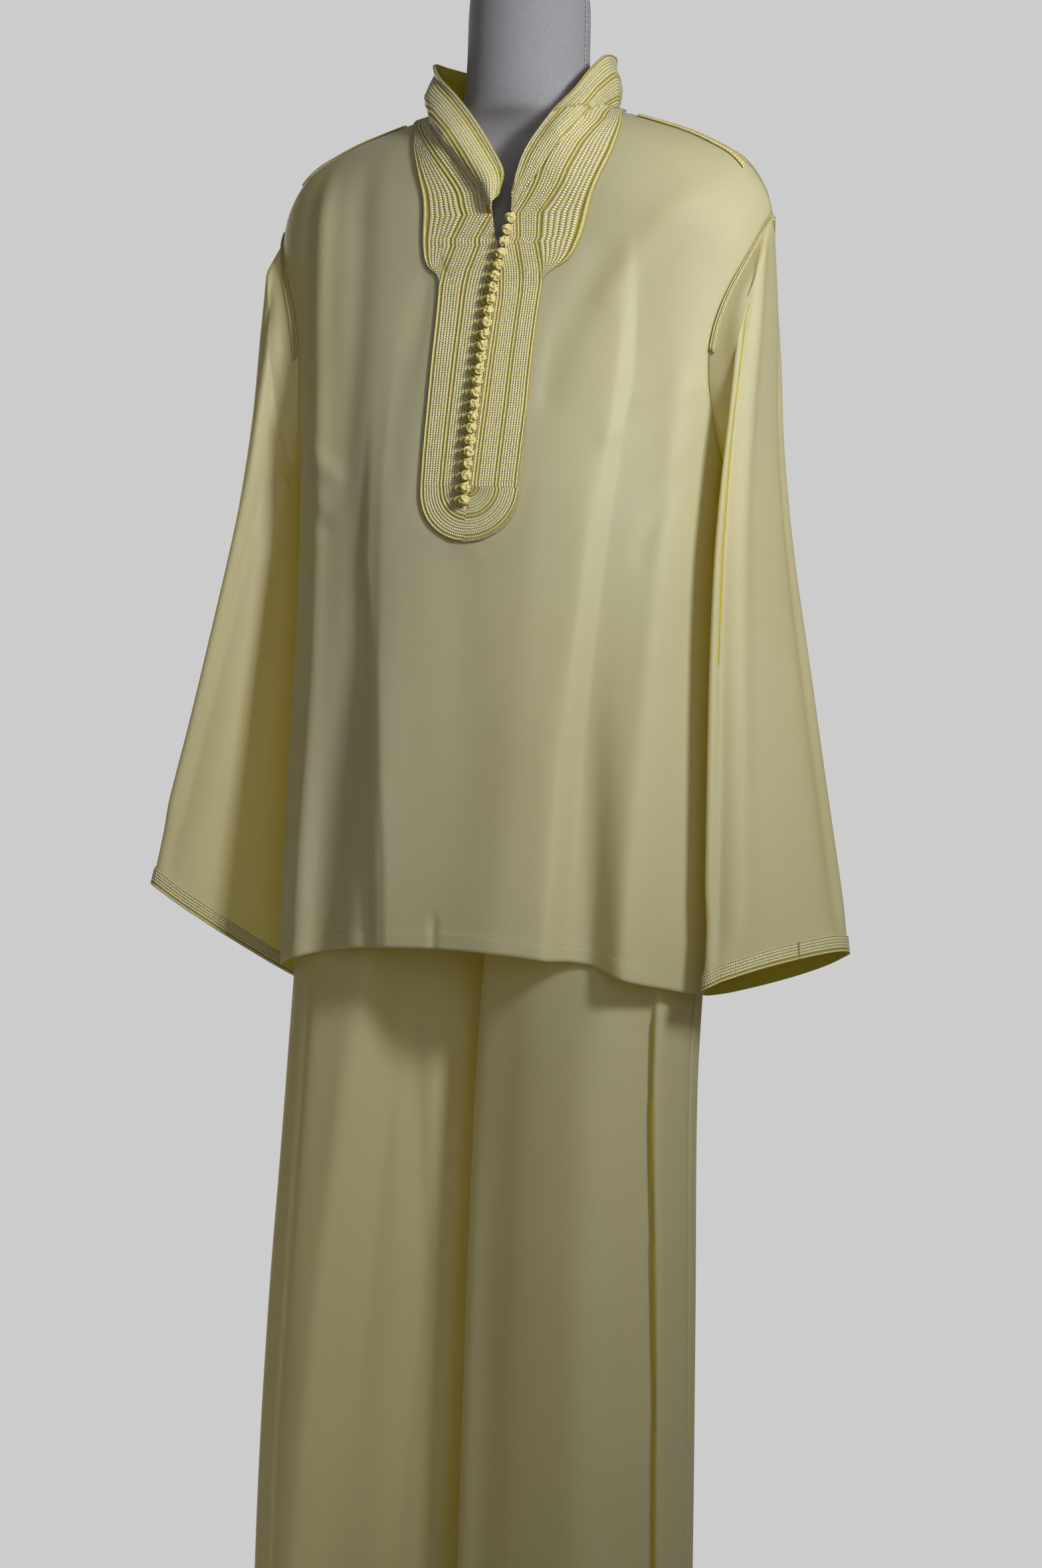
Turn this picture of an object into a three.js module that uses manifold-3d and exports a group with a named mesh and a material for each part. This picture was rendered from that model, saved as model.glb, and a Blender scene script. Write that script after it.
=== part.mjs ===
import * as THREE from 'three';
import Module from 'manifold-3d';
import { mergeVertices } from 'three/addons/utils/BufferGeometryUtils.js';

const wasm = await Module();
wasm.setup();

// Walls and gaps, in millimetres
const CLOTH = 1.8;
const COLLAR_CLOTH = 2.4;
const BRAID_GAP = 0.55;
const BRAID_THICK = 1.5;
const SEAM_HALF_GAP = 0.2;
const SLEEVE_GAP = 1.1;
const COLLAR_GAP = 0.6;
const COLLAR_SIDE_LIFT = 2.2;
const COLLAR_FRONT = 30;
const COLLAR_SIDE = 60;
const COLLAR_BULGE = 11;
const LEFT_BULGE_SHARE = 0.55;
const LEFT_BULGE_FROM = 20;
const LEFT_BULGE_SPAN = 40;
const PLASTRON_TOP_GAP = 1.9;
const RIB_HEIGHT = 0.5;
const MIN_CLEAR = 0.35;
const LIFT_ROUNDS = 16;
const LIFT_SHARE = 0.4;
const MAX_LIFT = 4;
const STAND_GAP = 0.3;

// Heights of the garment above the floor
const UNDERARM_Z = 1150;
const ARMHOLE_TOP_Z = 1366;
const TUNIC_SIDE_HEM_Z = 690;
const FRONT_HEM_RISE = 36;
const BACK_HEM_RISE = 10;
const CROTCH_Z = 738;
const RISE_TOP_Z = 855;
const TROUSER_TOP_Z = 1010;
const TROUSER_HEM_Z = 46;
const WAISTBAND_HEIGHT = 30;
const WAISTBAND_GAP = 0.4;
const WAISTBAND_INSET = 1;
const LEG_SEAM_GAP = 2.4;
const LEG_FOLD_FADE = 500;
const TROUSER_SHIFT_Y = 12;

// Shape of the tunic
const SECTION_POWER = 2.4;
const SHOULDER_ROUND = 90;
const ARMHOLE_HALF_GAP = 42;
const ARMHOLE_LEAN = 0.85;
const ARMHOLE_FULLNESS = 0.7;
const SHOULDER_HALF_WIDTH = 234;
const LEAST_EDGE_SHARE = 0.9;
const HEM_CURVE_POWER = 2.4;
const FOLD_EDGE_FADE = 1.6;
const SLEEVE_LOBE_POWER = 0.85;

// Repeated halving that finds a height or a width
const SOLVE_STEPS = 30;
const FIRST_TOP_Z = 1430;
const NORMAL_STEP = 3;

// Plastron, slit and buttons
const PLASTRON_BOTTOM_Z = 1076;
const PLASTRON_RIBS = 10;
const SLIT_WIDTH = 1.2;
const SLIT_BOTTOM_Z = 1104;
const SLIT_ABOVE_NECK = 30;
const SLIT_CUTTER = { nearY: -50, depth: 120 };
const EDGE_CORD_SHARE = 0.955;
const BUTTON_COUNT = 25;
const BUTTON_RADIUS = 4.7;
const BUTTON_TOP_Z = 1357;
const BUTTON_BOTTOM_Z = 1111;
const SLIT_BOTTOM_X = 4;
const SLIT_TOP_X = 13;
const BUTTON_CLEAR = 0.15;
const LOOP_CLEAR = 0.65;
const LOOP_TOP_Z = 1328;
const LOOP_RADIUS = 0.9;
const LOOP_OFFSET = 8.2;
const LOOP_SWING = 2.2;
const CLEAR_SAMPLES = [
  [1, 0, 0], [0.5, 0.5, 0], [0.5, 0, 0.5], [0, 0.5, 0.5], [0.34, 0.33, 0.33],
  [0.75, 0.25, 0], [0.25, 0.75, 0],
];

// Trims
const CUFF_BAND = 15;
const ARMHOLE_BAND = 6;
const ARMHOLE_BAND_START = 0.08;
const ARMHOLE_ARC = 7;
const SHOULDER_BRAID = { fromX: 112, toX: 210, steps: 8, below: [0.5, 2.6] };

// Points round the rings
const SLEEVE_POINTS = 26;
const WAIST_POINTS = 32;
const FORM_POINTS = 26;
const PANEL_STEPS = 12;

// Dress form and its stand
const FORM_BOTTOM_Z = 862;
const POLE = { x: 100, y: -6, radius: 12, sides: 20 };
const BASE = { radius: 190, height: 10, sides: 48 };
const BOSS = { radius: 26, foot: 34, height: 22, sunk: 2 };

// Tunic sections: height, half width, seam line, front reach and back reach
const TUNIC = [
  { z: 690, half: 203, seam: -16, front: -146, back: 113 },
  { z: 760, half: 204, seam: -16, front: -145, back: 113 },
  { z: 850, half: 202, seam: -16, front: -141, back: 112 },
  { z: 950, half: 199, seam: -16, front: -136, back: 108 },
  { z: 1050, half: 197, seam: -16, front: -130, back: 101 },
  { z: 1131, half: 199, seam: -15, front: -123, back: 96 },
  { z: 1223, half: 207, seam: -14, front: -107, back: 92 },
  { z: 1301, half: 222, seam: -12, front: -91, back: 84 },
  { z: 1366, half: 234, seam: -8, front: -83, back: 76 },
  { z: 1470, half: 234, seam: -2, front: -80, back: 68 },
];

// Height of the shoulder seam by distance from the middle
const SHOULDER = [
  { x: 0, z: 1512 }, { x: 40, z: 1497 }, { x: 60, z: 1480 }, { x: 78, z: 1466 }, { x: 108, z: 1457 },
  { x: 134, z: 1449 }, { x: 158, z: 1441 }, { x: 181, z: 1431 }, { x: 200, z: 1421 }, { x: 213, z: 1409 },
  { x: 222, z: 1396 }, { x: 229, z: 1382 }, { x: 234, z: 1366 },
];

// Front neckline: distance from its middle and height
const FRONT_NECK = [
  { x: 0, z: 1336 }, { x: 4, z: 1341 }, { x: 9, z: 1362 }, { x: 20, z: 1381 }, { x: 36, z: 1400 },
  { x: 54, z: 1424 }, { x: 68, z: 1445 }, { x: 76, z: 1460 }, { x: 79, z: 1464.6 },
];

// Back neckline: distance from its middle and height
const BACK_NECK = [
  { x: 0, z: 1449 }, { x: 30, z: 1451 }, { x: 55, z: 1456 }, { x: 72, z: 1461 }, { x: 79, z: 1464.6 },
];

// Sideways shift of the neckline and of the plastron by height
const NECK_SHIFT = [
  { z: 1336, x: 12 }, { z: 1400, x: 11 }, { z: 1430, x: 6 }, { z: 1465, x: 0 },
];

// Plastron: height, middle, half width
const PLASTRON = [
  { z: 1076, mid: 6, half: 4 }, { z: 1079, mid: 6, half: 17 }, { z: 1085, mid: 6, half: 29 },
  { z: 1095, mid: 6, half: 39 }, { z: 1108, mid: 6, half: 45 }, { z: 1123, mid: 6, half: 47 },
  { z: 1223, mid: 5, half: 47 }, { z: 1303, mid: 6, half: 49 }, { z: 1310, mid: 7, half: 53 },
  { z: 1319, mid: 9, half: 65 }, { z: 1332, mid: 11, half: 72 }, { z: 1350, mid: 13, half: 76 },
  { z: 1380, mid: 15, half: 80 }, { z: 1415, mid: 15, half: 91 }, { z: 1440, mid: 9, half: 99 },
  { z: 1460, mid: -2, half: 104 },
];

// Line of the buttons by height
const BUTTON_LINE = [
  { z: 1111, x: 4 }, { z: 1199, x: 6 }, { z: 1262, x: 9 }, { z: 1300, x: 12 }, { z: 1325, x: 16 },
  { z: 1345, x: 20 }, { z: 1357, x: 23 },
];

// Soft folds of the tunic: foot and head position, half width, reach outward, height where it fades
const FRONT_FOLDS = [
  { foot: -86, head: -70, spread: 24, reach: 13, fades: 1010 },
  { foot: -128, head: -110, spread: 24, reach: -15, fades: 1060 },
  { foot: -165, head: -160, spread: 22, reach: 5, fades: 980 },
  { foot: 122, head: 112, spread: 20, reach: -12, fades: 1040 },
  { foot: 158, head: 140, spread: 22, reach: 8, fades: 1000 },
  { foot: 30, head: 20, spread: 34, reach: 5, fades: 900 },
];
const BACK_FOLDS = [
  { foot: -110, head: -95, spread: 26, reach: 10, fades: 1020 },
  { foot: -62, head: -60, spread: 24, reach: -11, fades: 1060 },
  { foot: 20, head: 12, spread: 30, reach: 9, fades: 980 },
  { foot: 84, head: 76, spread: 24, reach: -12, fades: 1050 },
  { foot: 132, head: 120, spread: 24, reach: 9, fades: 1000 },
];

// Sleeve rings from armhole to cuff: outer and inner line, middle depth, half breadth, turn, dip
const LEFT_SLEEVE = [
  { outerX: 236, outerZ: 1336, innerX: 207, innerZ: 1138, midY: -13, half: 47, turn: 0, dip: 0 },
  { outerX: 237, outerZ: 1278, innerX: 207, innerZ: 1112, midY: -12, half: 54, turn: 2, dip: 0 },
  { outerX: 236, outerZ: 1200, innerX: 208, innerZ: 1078, midY: -11, half: 60, turn: 5, dip: 0 },
  { outerX: 240, outerZ: 1112, innerX: 211, innerZ: 1024, midY: -12, half: 65, turn: 10, dip: -1 },
  { outerX: 249, outerZ: 1014, innerX: 216, innerZ: 948, midY: -12, half: 69, turn: 16, dip: -3 },
  { outerX: 261, outerZ: 904, innerX: 223, innerZ: 856, midY: -12, half: 74, turn: 21, dip: -5 },
  { outerX: 272, outerZ: 803, innerX: 231, innerZ: 768, midY: -12, half: 80, turn: 25, dip: -8 },
  { outerX: 280, outerZ: 724, innerX: 237, innerZ: 696, midY: -13, half: 86, turn: 27, dip: -10 },
];
const RIGHT_SLEEVE = [
  { outerX: 236, outerZ: 1336, innerX: 207, innerZ: 1138, midY: -13, half: 47, turn: 0, dip: 0 },
  { outerX: 237, outerZ: 1278, innerX: 207, innerZ: 1112, midY: -13, half: 54, turn: -3, dip: 2 },
  { outerX: 238, outerZ: 1200, innerX: 208, innerZ: 1078, midY: -14, half: 60, turn: -7, dip: 5 },
  { outerX: 243, outerZ: 1112, innerX: 212, innerZ: 1022, midY: -15, half: 65, turn: -13, dip: 11 },
  { outerX: 253, outerZ: 1014, innerX: 219, innerZ: 945, midY: -17, half: 70, turn: -19, dip: 19 },
  { outerX: 267, outerZ: 906, innerX: 228, innerZ: 856, midY: -18, half: 76, turn: -24, dip: 29 },
  { outerX: 281, outerZ: 806, innerX: 238, innerZ: 770, midY: -19, half: 82, turn: -28, dip: 40 },
  { outerX: 291, outerZ: 728, innerX: 246, innerZ: 702, midY: -20, half: 86, turn: -30, dip: 47 },
];

// Collar stations from the slit round to the middle back: base on the neckline, free edge of both sides
const COLLAR = [
  { base: 9, leftX: 10, rightX: 22, y: -87, z: 1381 },
  { base: 20, leftX: 13, rightX: 25, y: -85, z: 1399 },
  { base: 36, leftX: 0, rightX: 32, y: -80, z: 1421 },
  { base: 54, leftX: -21, rightX: 48, y: -71, z: 1448 },
  { base: 68, leftX: -45, rightX: 64, y: -56, z: 1472 },
  { base: 76, leftX: -72, rightX: 71, y: -34, z: 1494 },
];
const COLLAR_BACK = [
  { base: 79, leftX: -89, rightX: 76, y: -8, z: 1511 },
  { base: 72, leftX: -87, rightX: 75, y: 20, z: 1513 },
  { base: 55, leftX: -67, rightX: 61, y: 48, z: 1510 },
  { base: 30, leftX: -39, rightX: 38, y: 65, z: 1506 },
  { base: 0, leftX: 0, rightX: 0, y: 71, z: 1504 },
];

// Trouser leg sections by height: outer half width, front reach, back reach, sideways shift
const TROUSERS = [
  { z: 46, half: 205, front: -88, back: 84, shift: -14 },
  { z: 200, half: 203, front: -88, back: 84, shift: -14 },
  { z: 400, half: 197, front: -88, back: 86, shift: -12 },
  { z: 600, half: 188, front: -88, back: 90, shift: -8 },
  { z: 738, half: 185, front: -90, back: 95, shift: -2 },
  { z: 855, half: 180, front: -93, back: 103, shift: 0 },
  { z: 930, half: 164, front: -92, back: 98, shift: 0 },
  { z: 1010, half: 131, front: -84, back: 88, shift: 0 },
];
const LEG_FOLDS = [
  { at: 0.28, spread: 0.07, reach: -9, from: 850 },
  { at: 0.42, spread: 0.09, reach: 6, from: 800 },
  { at: 0.7, spread: 0.08, reach: -7, from: 760 },
];

// Dress form sections: height, half width, front reach, back reach, roundness power
const FORM = [
  { z: 862, half: 154, front: -84, back: 78, power: 2.2 },
  { z: 874, half: 163, front: -89, back: 84, power: 2.2 },
  { z: 930, half: 148, front: -86, back: 79, power: 2.2 },
  { z: 1010, half: 116, front: -80, back: 70, power: 2.1 },
  { z: 1080, half: 126, front: -92, back: 76, power: 2.1 },
  { z: 1150, half: 142, front: -106, back: 82, power: 2.1 },
  { z: 1220, half: 156, front: -96, back: 82, power: 2.2 },
  { z: 1290, half: 168, front: -80, back: 76, power: 2.3 },
  { z: 1350, half: 178, front: -66, back: 64, power: 2.4 },
  { z: 1395, half: 180, front: -54, back: 52, power: 2.4 },
  { z: 1420, half: 166, front: -44, back: 44, power: 2.4 },
  { z: 1436, half: 140, front: -38, back: 40, power: 2.3 },
  { z: 1446, half: 110, front: -40, back: 41, power: 2.2 },
  { z: 1453, half: 86, front: -44, back: 43, power: 2.1 },
  { z: 1464, half: 64, front: -53, back: 48, power: 2 },
  { z: 1490, half: 56, front: -57, back: 51, power: 2 },
  { z: 1560, half: 54, front: -56, back: 50, power: 2 },
  { z: 1576, half: 50, front: -52, back: 46, power: 2 },
];

// Reads a column of a table at a height with a smooth curve between rows
function column(table, key, at, by = 'z') {
  const last = table.length - 1;
  if (at <= table[0][by]) return table[0][key];
  if (at >= table[last][by]) return table[last][key];
  let i = 0;
  while (at > table[i + 1][by]) i += 1;
  const p0 = table[Math.max(i - 1, 0)];
  const p1 = table[i];
  const p2 = table[i + 1];
  const p3 = table[Math.min(i + 2, last)];
  const span = p2[by] - p1[by];
  const t = (at - p1[by]) / span;
  const slope1 = p2[by] === p0[by] ? 0 : (p2[key] - p0[key]) / (p2[by] - p0[by]);
  const slope2 = p3[by] === p1[by] ? 0 : (p3[key] - p1[key]) / (p3[by] - p1[by]);
  const t2 = t * t;
  const t3 = t2 * t;
  const ends = (2 * t3 - 3 * t2 + 1) * p1[key] + (3 * t2 - 2 * t3) * p2[key];
  const slopes = (t3 - 2 * t2 + t) * slope1 * span + (t3 - t2) * slope2 * span;
  return ends + slopes;
}

// Straight reading of a table, for outlines that must keep their corners
function straight(table, key, at, by) {
  const last = table.length - 1;
  if (at <= table[0][by]) return table[0][key];
  if (at >= table[last][by]) return table[last][key];
  let i = 0;
  while (at > table[i + 1][by]) i += 1;
  const t = (at - table[i][by]) / (table[i + 1][by] - table[i][by]);
  return table[i][key] + t * (table[i + 1][key] - table[i][key]);
}

function clamp(value, low, high) {
  return Math.min(Math.max(value, low), high);
}

function smooth(t) {
  const c = clamp(t, 0, 1);
  return c * c * (3 - 2 * c);
}

function hump(distance, spread) {
  return Math.exp(-(distance * distance) / (spread * spread));
}

// Depth factor of a superellipse at a sideways fraction
function depthFactor(fraction, power) {
  return Math.pow(Math.max(1 - Math.pow(Math.abs(fraction), power), 0), 1 / power);
}

function shoulderHeight(x) {
  return column(SHOULDER, 'z', Math.abs(x), 'x');
}

function foldReach(folds, x, z) {
  let sum = 0;
  for (const fold of folds) {
    const rise = clamp((z - TUNIC_SIDE_HEM_Z) / (fold.fades - TUNIC_SIDE_HEM_Z), 0, 1);
    const middle = fold.foot + (fold.head - fold.foot) * rise;
    sum += fold.reach * (1 - smooth(rise)) * hump(x - middle, fold.spread);
  }
  return sum;
}

// A point of the tunic's outer face; side is -1 for the front and 1 for the back
function tunicPoint(x, z, side) {
  const half = column(TUNIC, 'half', z);
  const seam = column(TUNIC, 'seam', z);
  const reach = column(TUNIC, side < 0 ? 'front' : 'back', z);
  const factor = depthFactor(x / half, SECTION_POWER);
  const below = clamp((shoulderHeight(x) - z) / SHOULDER_ROUND, 0, 1);
  const round = Math.sqrt(1 - (1 - below) * (1 - below));
  const folds = foldReach(side < 0 ? FRONT_FOLDS : BACK_FOLDS, x, z) * smooth(factor * FOLD_EDGE_FADE);
  const depth = Math.abs(reach - seam) * factor * round + folds;
  return new THREE.Vector3(x, seam + side * (depth + SEAM_HALF_GAP), z);
}

// Half opening of the armhole at a height, measured from the seam line
function armholeGap(z) {
  const t = (z - UNDERARM_Z) / (ARMHOLE_TOP_Z - UNDERARM_Z);
  if (t <= 0 || t >= 1) return 0;
  return ARMHOLE_HALF_GAP * Math.pow(Math.sin(Math.PI * Math.pow(t, ARMHOLE_LEAN)), ARMHOLE_FULLNESS);
}

// Sideways position of a panel's edge at a height
function edgeX(z, side) {
  const half = column(TUNIC, 'half', z);
  const gap = armholeGap(z);
  if (gap <= 0) return half;
  const seam = column(TUNIC, 'seam', z);
  const reach = Math.abs(column(TUNIC, side < 0 ? 'front' : 'back', z) - seam);
  let low = 0;
  let high = half;
  for (let step = 0; step < SOLVE_STEPS; step += 1) {
    const x = (low + high) / 2;
    const below = clamp((shoulderHeight(x) - z) / SHOULDER_ROUND, 0, 1);
    const round = Math.sqrt(1 - (1 - below) * (1 - below));
    const depth = reach * depthFactor(x / half, SECTION_POWER) * round;
    if (depth > gap) low = x;
    else high = x;
  }
  return Math.max(low, half * LEAST_EDGE_SHARE);
}

function neckShift(z) {
  return straight(NECK_SHIFT, 'x', z, 'z');
}

// Height of a panel's top edge at a sideways position
function panelTop(x, side) {
  const neck = side < 0 ? FRONT_NECK : BACK_NECK;
  const wide = neck[neck.length - 1].x;
  if (side > 0) {
    if (Math.abs(x) >= wide) return shoulderHeight(x);
    return Math.min(straight(neck, 'z', Math.abs(x), 'x'), shoulderHeight(x));
  }
  let z = FIRST_TOP_Z;
  for (let step = 0; step < SOLVE_STEPS; step += 1) {
    const off = Math.abs(x - neckShift(z));
    z = (z + (off >= wide ? shoulderHeight(x) : straight(neck, 'z', off, 'x'))) / 2;
  }
  return Math.min(z, shoulderHeight(x));
}

function hemHeight(x, side) {
  const s = clamp(Math.abs(x) / TUNIC[0].half, 0, 1);
  const rise = side < 0 ? FRONT_HEM_RISE : BACK_HEM_RISE;
  return TUNIC_SIDE_HEM_Z + rise * (1 - Math.pow(s, HEM_CURVE_POWER));
}

// Columns of the panels, by their sideways position at the top edge
const FRONT_COLUMNS = [
  -234, -229, -220, -207, -190, -170, -148, -124, -100, -79, -65, -47, -25, -8, 3, 8,
  12, 16, 21, 32, 47, 61, 71, 79, 100, 124, 148, 170, 190, 207, 220, 229, 234,
];
const BACK_COLUMNS = [
  -234, -229, -218, -200, -176, -148, -118, -79, -55, -30, 0, 30, 55, 79, 118, 148, 176, 200,
  218, 229, 234,
];

const PANEL_ROWS = [
  0, 0.1, 0.2, 0.3, 0.4, 0.5, 0.59, 0.67, 0.72, 0.77, 0.82, 0.87, 0.91, 0.94, 0.965, 0.985, 0.996, 1,
];

function panelGrid(side, columns) {
  const fractions = columns.map((x) => x / SHOULDER_HALF_WIDTH);
  return PANEL_ROWS.map((v) => fractions.map((fraction) => {
    const topX = fraction * SHOULDER_HALF_WIDTH;
    const bottom = hemHeight(fraction * TUNIC[0].half, side);
    const z = bottom + (panelTop(topX, side) - bottom) * v;
    return tunicPoint(fraction * edgeX(z, side), z, side);
  }));
}

// Normals of a grid of points, turned to agree with a reference direction
function gridNormals(grid, closed, away) {
  const rows = grid.length;
  const cols = grid[0].length;
  return grid.map((row, r) => row.map((point, c) => {
    const up = grid[Math.min(r + 1, rows - 1)][c].clone().sub(grid[Math.max(r - 1, 0)][c]);
    const next = closed ? (c + 1) % cols : Math.min(c + 1, cols - 1);
    const prev = closed ? (c + cols - 1) % cols : Math.max(c - 1, 0);
    const across = grid[r][next].clone().sub(grid[r][prev]);
    const normal = up.cross(across).normalize();
    if (normal.dot(away(point, r, c)) < 0) normal.negate();
    return normal;
  }));
}

function moved(grid, normals, distance) {
  return grid.map((row, r) => row.map((point, c) => {
    const d = typeof distance === 'function' ? distance(r, c) : distance;
    return point.clone().addScaledVector(normals[r][c], d);
  }));
}

// Keeps a panel's inner face on its own side of the seam line
function besideSeam(grid, side) {
  return grid.map((row) => row.map((point) => {
    const limit = column(TUNIC, 'seam', point.z) + side * SEAM_HALF_GAP;
    const y = side < 0 ? Math.min(point.y, limit) : Math.max(point.y, limit);
    return new THREE.Vector3(point.x, y, point.z);
  }));
}

function signedVolume(points, faces) {
  let sum = 0;
  for (const [a, b, c] of faces) {
    sum += points[a].dot(new THREE.Vector3().crossVectors(points[b], points[c]));
  }
  return sum / 6;
}

function geometryFrom(points, faces) {
  const flip = signedVolume(points, faces) < 0;
  const positions = new Float32Array(points.flatMap((p) => [p.x, p.y, p.z]));
  const index = faces.flatMap(([a, b, c]) => (flip ? [a, c, b] : [a, b, c]));
  const geometry = new THREE.BufferGeometry();
  geometry.setAttribute('position', new THREE.BufferAttribute(positions, 3));
  geometry.setIndex(index);
  geometry.computeVertexNormals();
  return geometry;
}

// A closed wall between two grids of the same size
function wall(outer, inner, closed) {
  const rows = outer.length;
  const cols = outer[0].length;
  const points = [...outer.flat(), ...inner.flat()];
  const half = rows * cols;
  const faces = [];
  const quad = (a, b, c, d) => {
    faces.push([a, b, c]);
    faces.push([a, c, d]);
  };
  const lastColumn = closed ? cols : cols - 1;
  for (let r = 0; r < rows - 1; r += 1) {
    for (let c = 0; c < lastColumn; c += 1) {
      const a = r * cols + c;
      const b = r * cols + ((c + 1) % cols);
      quad(a, b, b + cols, a + cols);
      quad(half + a, half + a + cols, half + b + cols, half + b);
    }
  }
  for (let c = 0; c < lastColumn; c += 1) {
    const a = c;
    const b = (c + 1) % cols;
    quad(a, half + a, half + b, b);
    const top = (rows - 1) * cols;
    quad(top + a, top + b, half + top + b, half + top + a);
  }
  if (!closed) {
    for (let r = 0; r < rows - 1; r += 1) {
      const a = r * cols;
      quad(a, a + cols, half + a + cols, half + a);
      const e = a + cols - 1;
      quad(e, half + e, half + e + cols, e + cols);
    }
  }
  return geometryFrom(points, faces);
}

// A closed solid from rings, with fans at both ends
function solidRings(rings) {
  const cols = rings[0].length;
  const points = rings.flat();
  const faces = [];
  for (let r = 0; r < rings.length - 1; r += 1) {
    for (let c = 0; c < cols; c += 1) {
      const a = r * cols + c;
      const b = r * cols + ((c + 1) % cols);
      faces.push([a, b, b + cols]);
      faces.push([a, b + cols, a + cols]);
    }
  }
  const middle = (ring) => ring.reduce((sum, p) => sum.add(p), new THREE.Vector3()).divideScalar(cols);
  points.push(middle(rings[0]), middle(rings[rings.length - 1]));
  const top = (rings.length - 1) * cols;
  for (let c = 0; c < cols; c += 1) {
    const next = (c + 1) % cols;
    faces.push([rings.length * cols, next, c]);
    faces.push([rings.length * cols + 1, top + c, top + next]);
  }
  return geometryFrom(points, faces);
}

function toManifold(geometry) {
  const plain = geometry.clone();
  plain.deleteAttribute('normal');
  plain.deleteAttribute('uv');
  const merged = mergeVertices(plain);
  return new wasm.Manifold(new wasm.Mesh({
    numProp: 3,
    vertProperties: new Float32Array(merged.attributes.position.array),
    triVerts: new Uint32Array(merged.index.array),
  }));
}

function fromManifold(solid) {
  const mesh = solid.getMesh();
  const geometry = new THREE.BufferGeometry();
  geometry.setAttribute('position', new THREE.BufferAttribute(new Float32Array(mesh.vertProperties), 3));
  geometry.setIndex(Array.from(mesh.triVerts));
  geometry.computeVertexNormals();
  return geometry;
}

const COLOURS = {
  cloth: 0xd9d08e,
  braid: 0xe9dfae,
  cord: 0xf1e8bd,
  form: 0xc9c5c6,
  pole: 0x8d9096,
  base: 0x2d2f33,
};

const group = new THREE.Group();

function add(name, geometry, colour, finish = {}) {
  const look = { color: colour, roughness: 0.6, metalness: 0, ...finish };
  const material = new THREE.MeshStandardMaterial(look);
  const mesh = new THREE.Mesh(geometry, material);
  mesh.name = name;
  group.add(mesh);
  return mesh;
}

// Sideways position of the slit at a height
function slitX(z) {
  const t = (z - SLIT_BOTTOM_Z) / (FRONT_NECK[0].z - SLIT_BOTTOM_Z);
  return SLIT_BOTTOM_X + (SLIT_TOP_X - SLIT_BOTTOM_X) * t;
}

// A thin slanted block that opens the slit through the front and the plastron
function slitCutter() {
  const shape = new THREE.Shape();
  const topZ = FRONT_NECK[0].z + SLIT_ABOVE_NECK;
  shape.moveTo(slitX(SLIT_BOTTOM_Z) - SLIT_WIDTH / 2, SLIT_BOTTOM_Z);
  shape.lineTo(slitX(SLIT_BOTTOM_Z) + SLIT_WIDTH / 2, SLIT_BOTTOM_Z);
  shape.lineTo(slitX(topZ) + SLIT_WIDTH / 2, topZ);
  shape.lineTo(slitX(topZ) - SLIT_WIDTH / 2, topZ);
  shape.closePath();
  const block = new THREE.ExtrudeGeometry(shape, { depth: SLIT_CUTTER.depth, bevelEnabled: false });
  block.rotateX(Math.PI / 2);
  block.translate(0, SLIT_CUTTER.nearY, 0);
  return toManifold(block);
}

// Tunic front and back
const cutter = slitCutter();
const outward = (side) => (point) => new THREE.Vector3(point.x * 0.4, side * 100, 40);
const frontGrid = panelGrid(-1, FRONT_COLUMNS);
const frontNormals = gridNormals(frontGrid, false, outward(-1));
const frontWall = wall(frontGrid, besideSeam(moved(frontGrid, frontNormals, -CLOTH), -1), false);
add('tunic_front', fromManifold(toManifold(frontWall).subtract(cutter)), COLOURS.cloth);
const backGrid = panelGrid(1, BACK_COLUMNS);
const backNormals = gridNormals(backGrid, false, outward(1));
const backWall = wall(backGrid, besideSeam(moved(backGrid, backNormals, -CLOTH), 1), false);
add('tunic_back', backWall, COLOURS.cloth);

// Depth of a triangle at a sideways position and height, or null outside it
function depthInTriangle(p, q, r, x, z) {
  const area = (q.x - p.x) * (r.z - p.z) - (r.x - p.x) * (q.z - p.z);
  if (Math.abs(area) < 1e-9) return null;
  const s = ((x - p.x) * (r.z - p.z) - (r.x - p.x) * (z - p.z)) / area;
  const t = ((q.x - p.x) * (z - p.z) - (x - p.x) * (q.z - p.z)) / area;
  if (s < -1e-6 || t < -1e-6 || s + t > 1 + 1e-6) return null;
  return p.y + s * (q.y - p.y) + t * (r.y - p.y);
}

// A point on the flat facets of the tunic's front
function onFacets(x, z) {
  for (let r = 0; r < frontGrid.length - 1; r += 1) {
    for (let c = 0; c < frontGrid[0].length - 1; c += 1) {
      const a = frontGrid[r][c];
      const b = frontGrid[r][c + 1];
      const d = frontGrid[r + 1][c + 1];
      const e = frontGrid[r + 1][c];
      const y = depthInTriangle(a, b, d, x, z) ?? depthInTriangle(a, d, e, x, z);
      if (y !== null) return new THREE.Vector3(x, y, z);
    }
  }
  return tunicPoint(x, z, -1);
}

function frontNormal(x, z) {
  const step = x > 0 ? -NORMAL_STEP : NORMAL_STEP;
  const across = onFacets(x + step, z).sub(onFacets(x, z));
  const up = onFacets(x, z).sub(onFacets(x, z - NORMAL_STEP));
  const normal = across.cross(up).normalize();
  return normal.y > 0 ? normal.negate() : normal;
}

const PLASTRON_ROWS = [
  0, 0.012, 0.03, 0.055, 0.09, 0.13, 0.25, 0.4, 0.55, 0.615, 0.65, 0.69, 0.74, 0.8, 0.87, 0.93, 0.975, 1,
];

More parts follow.
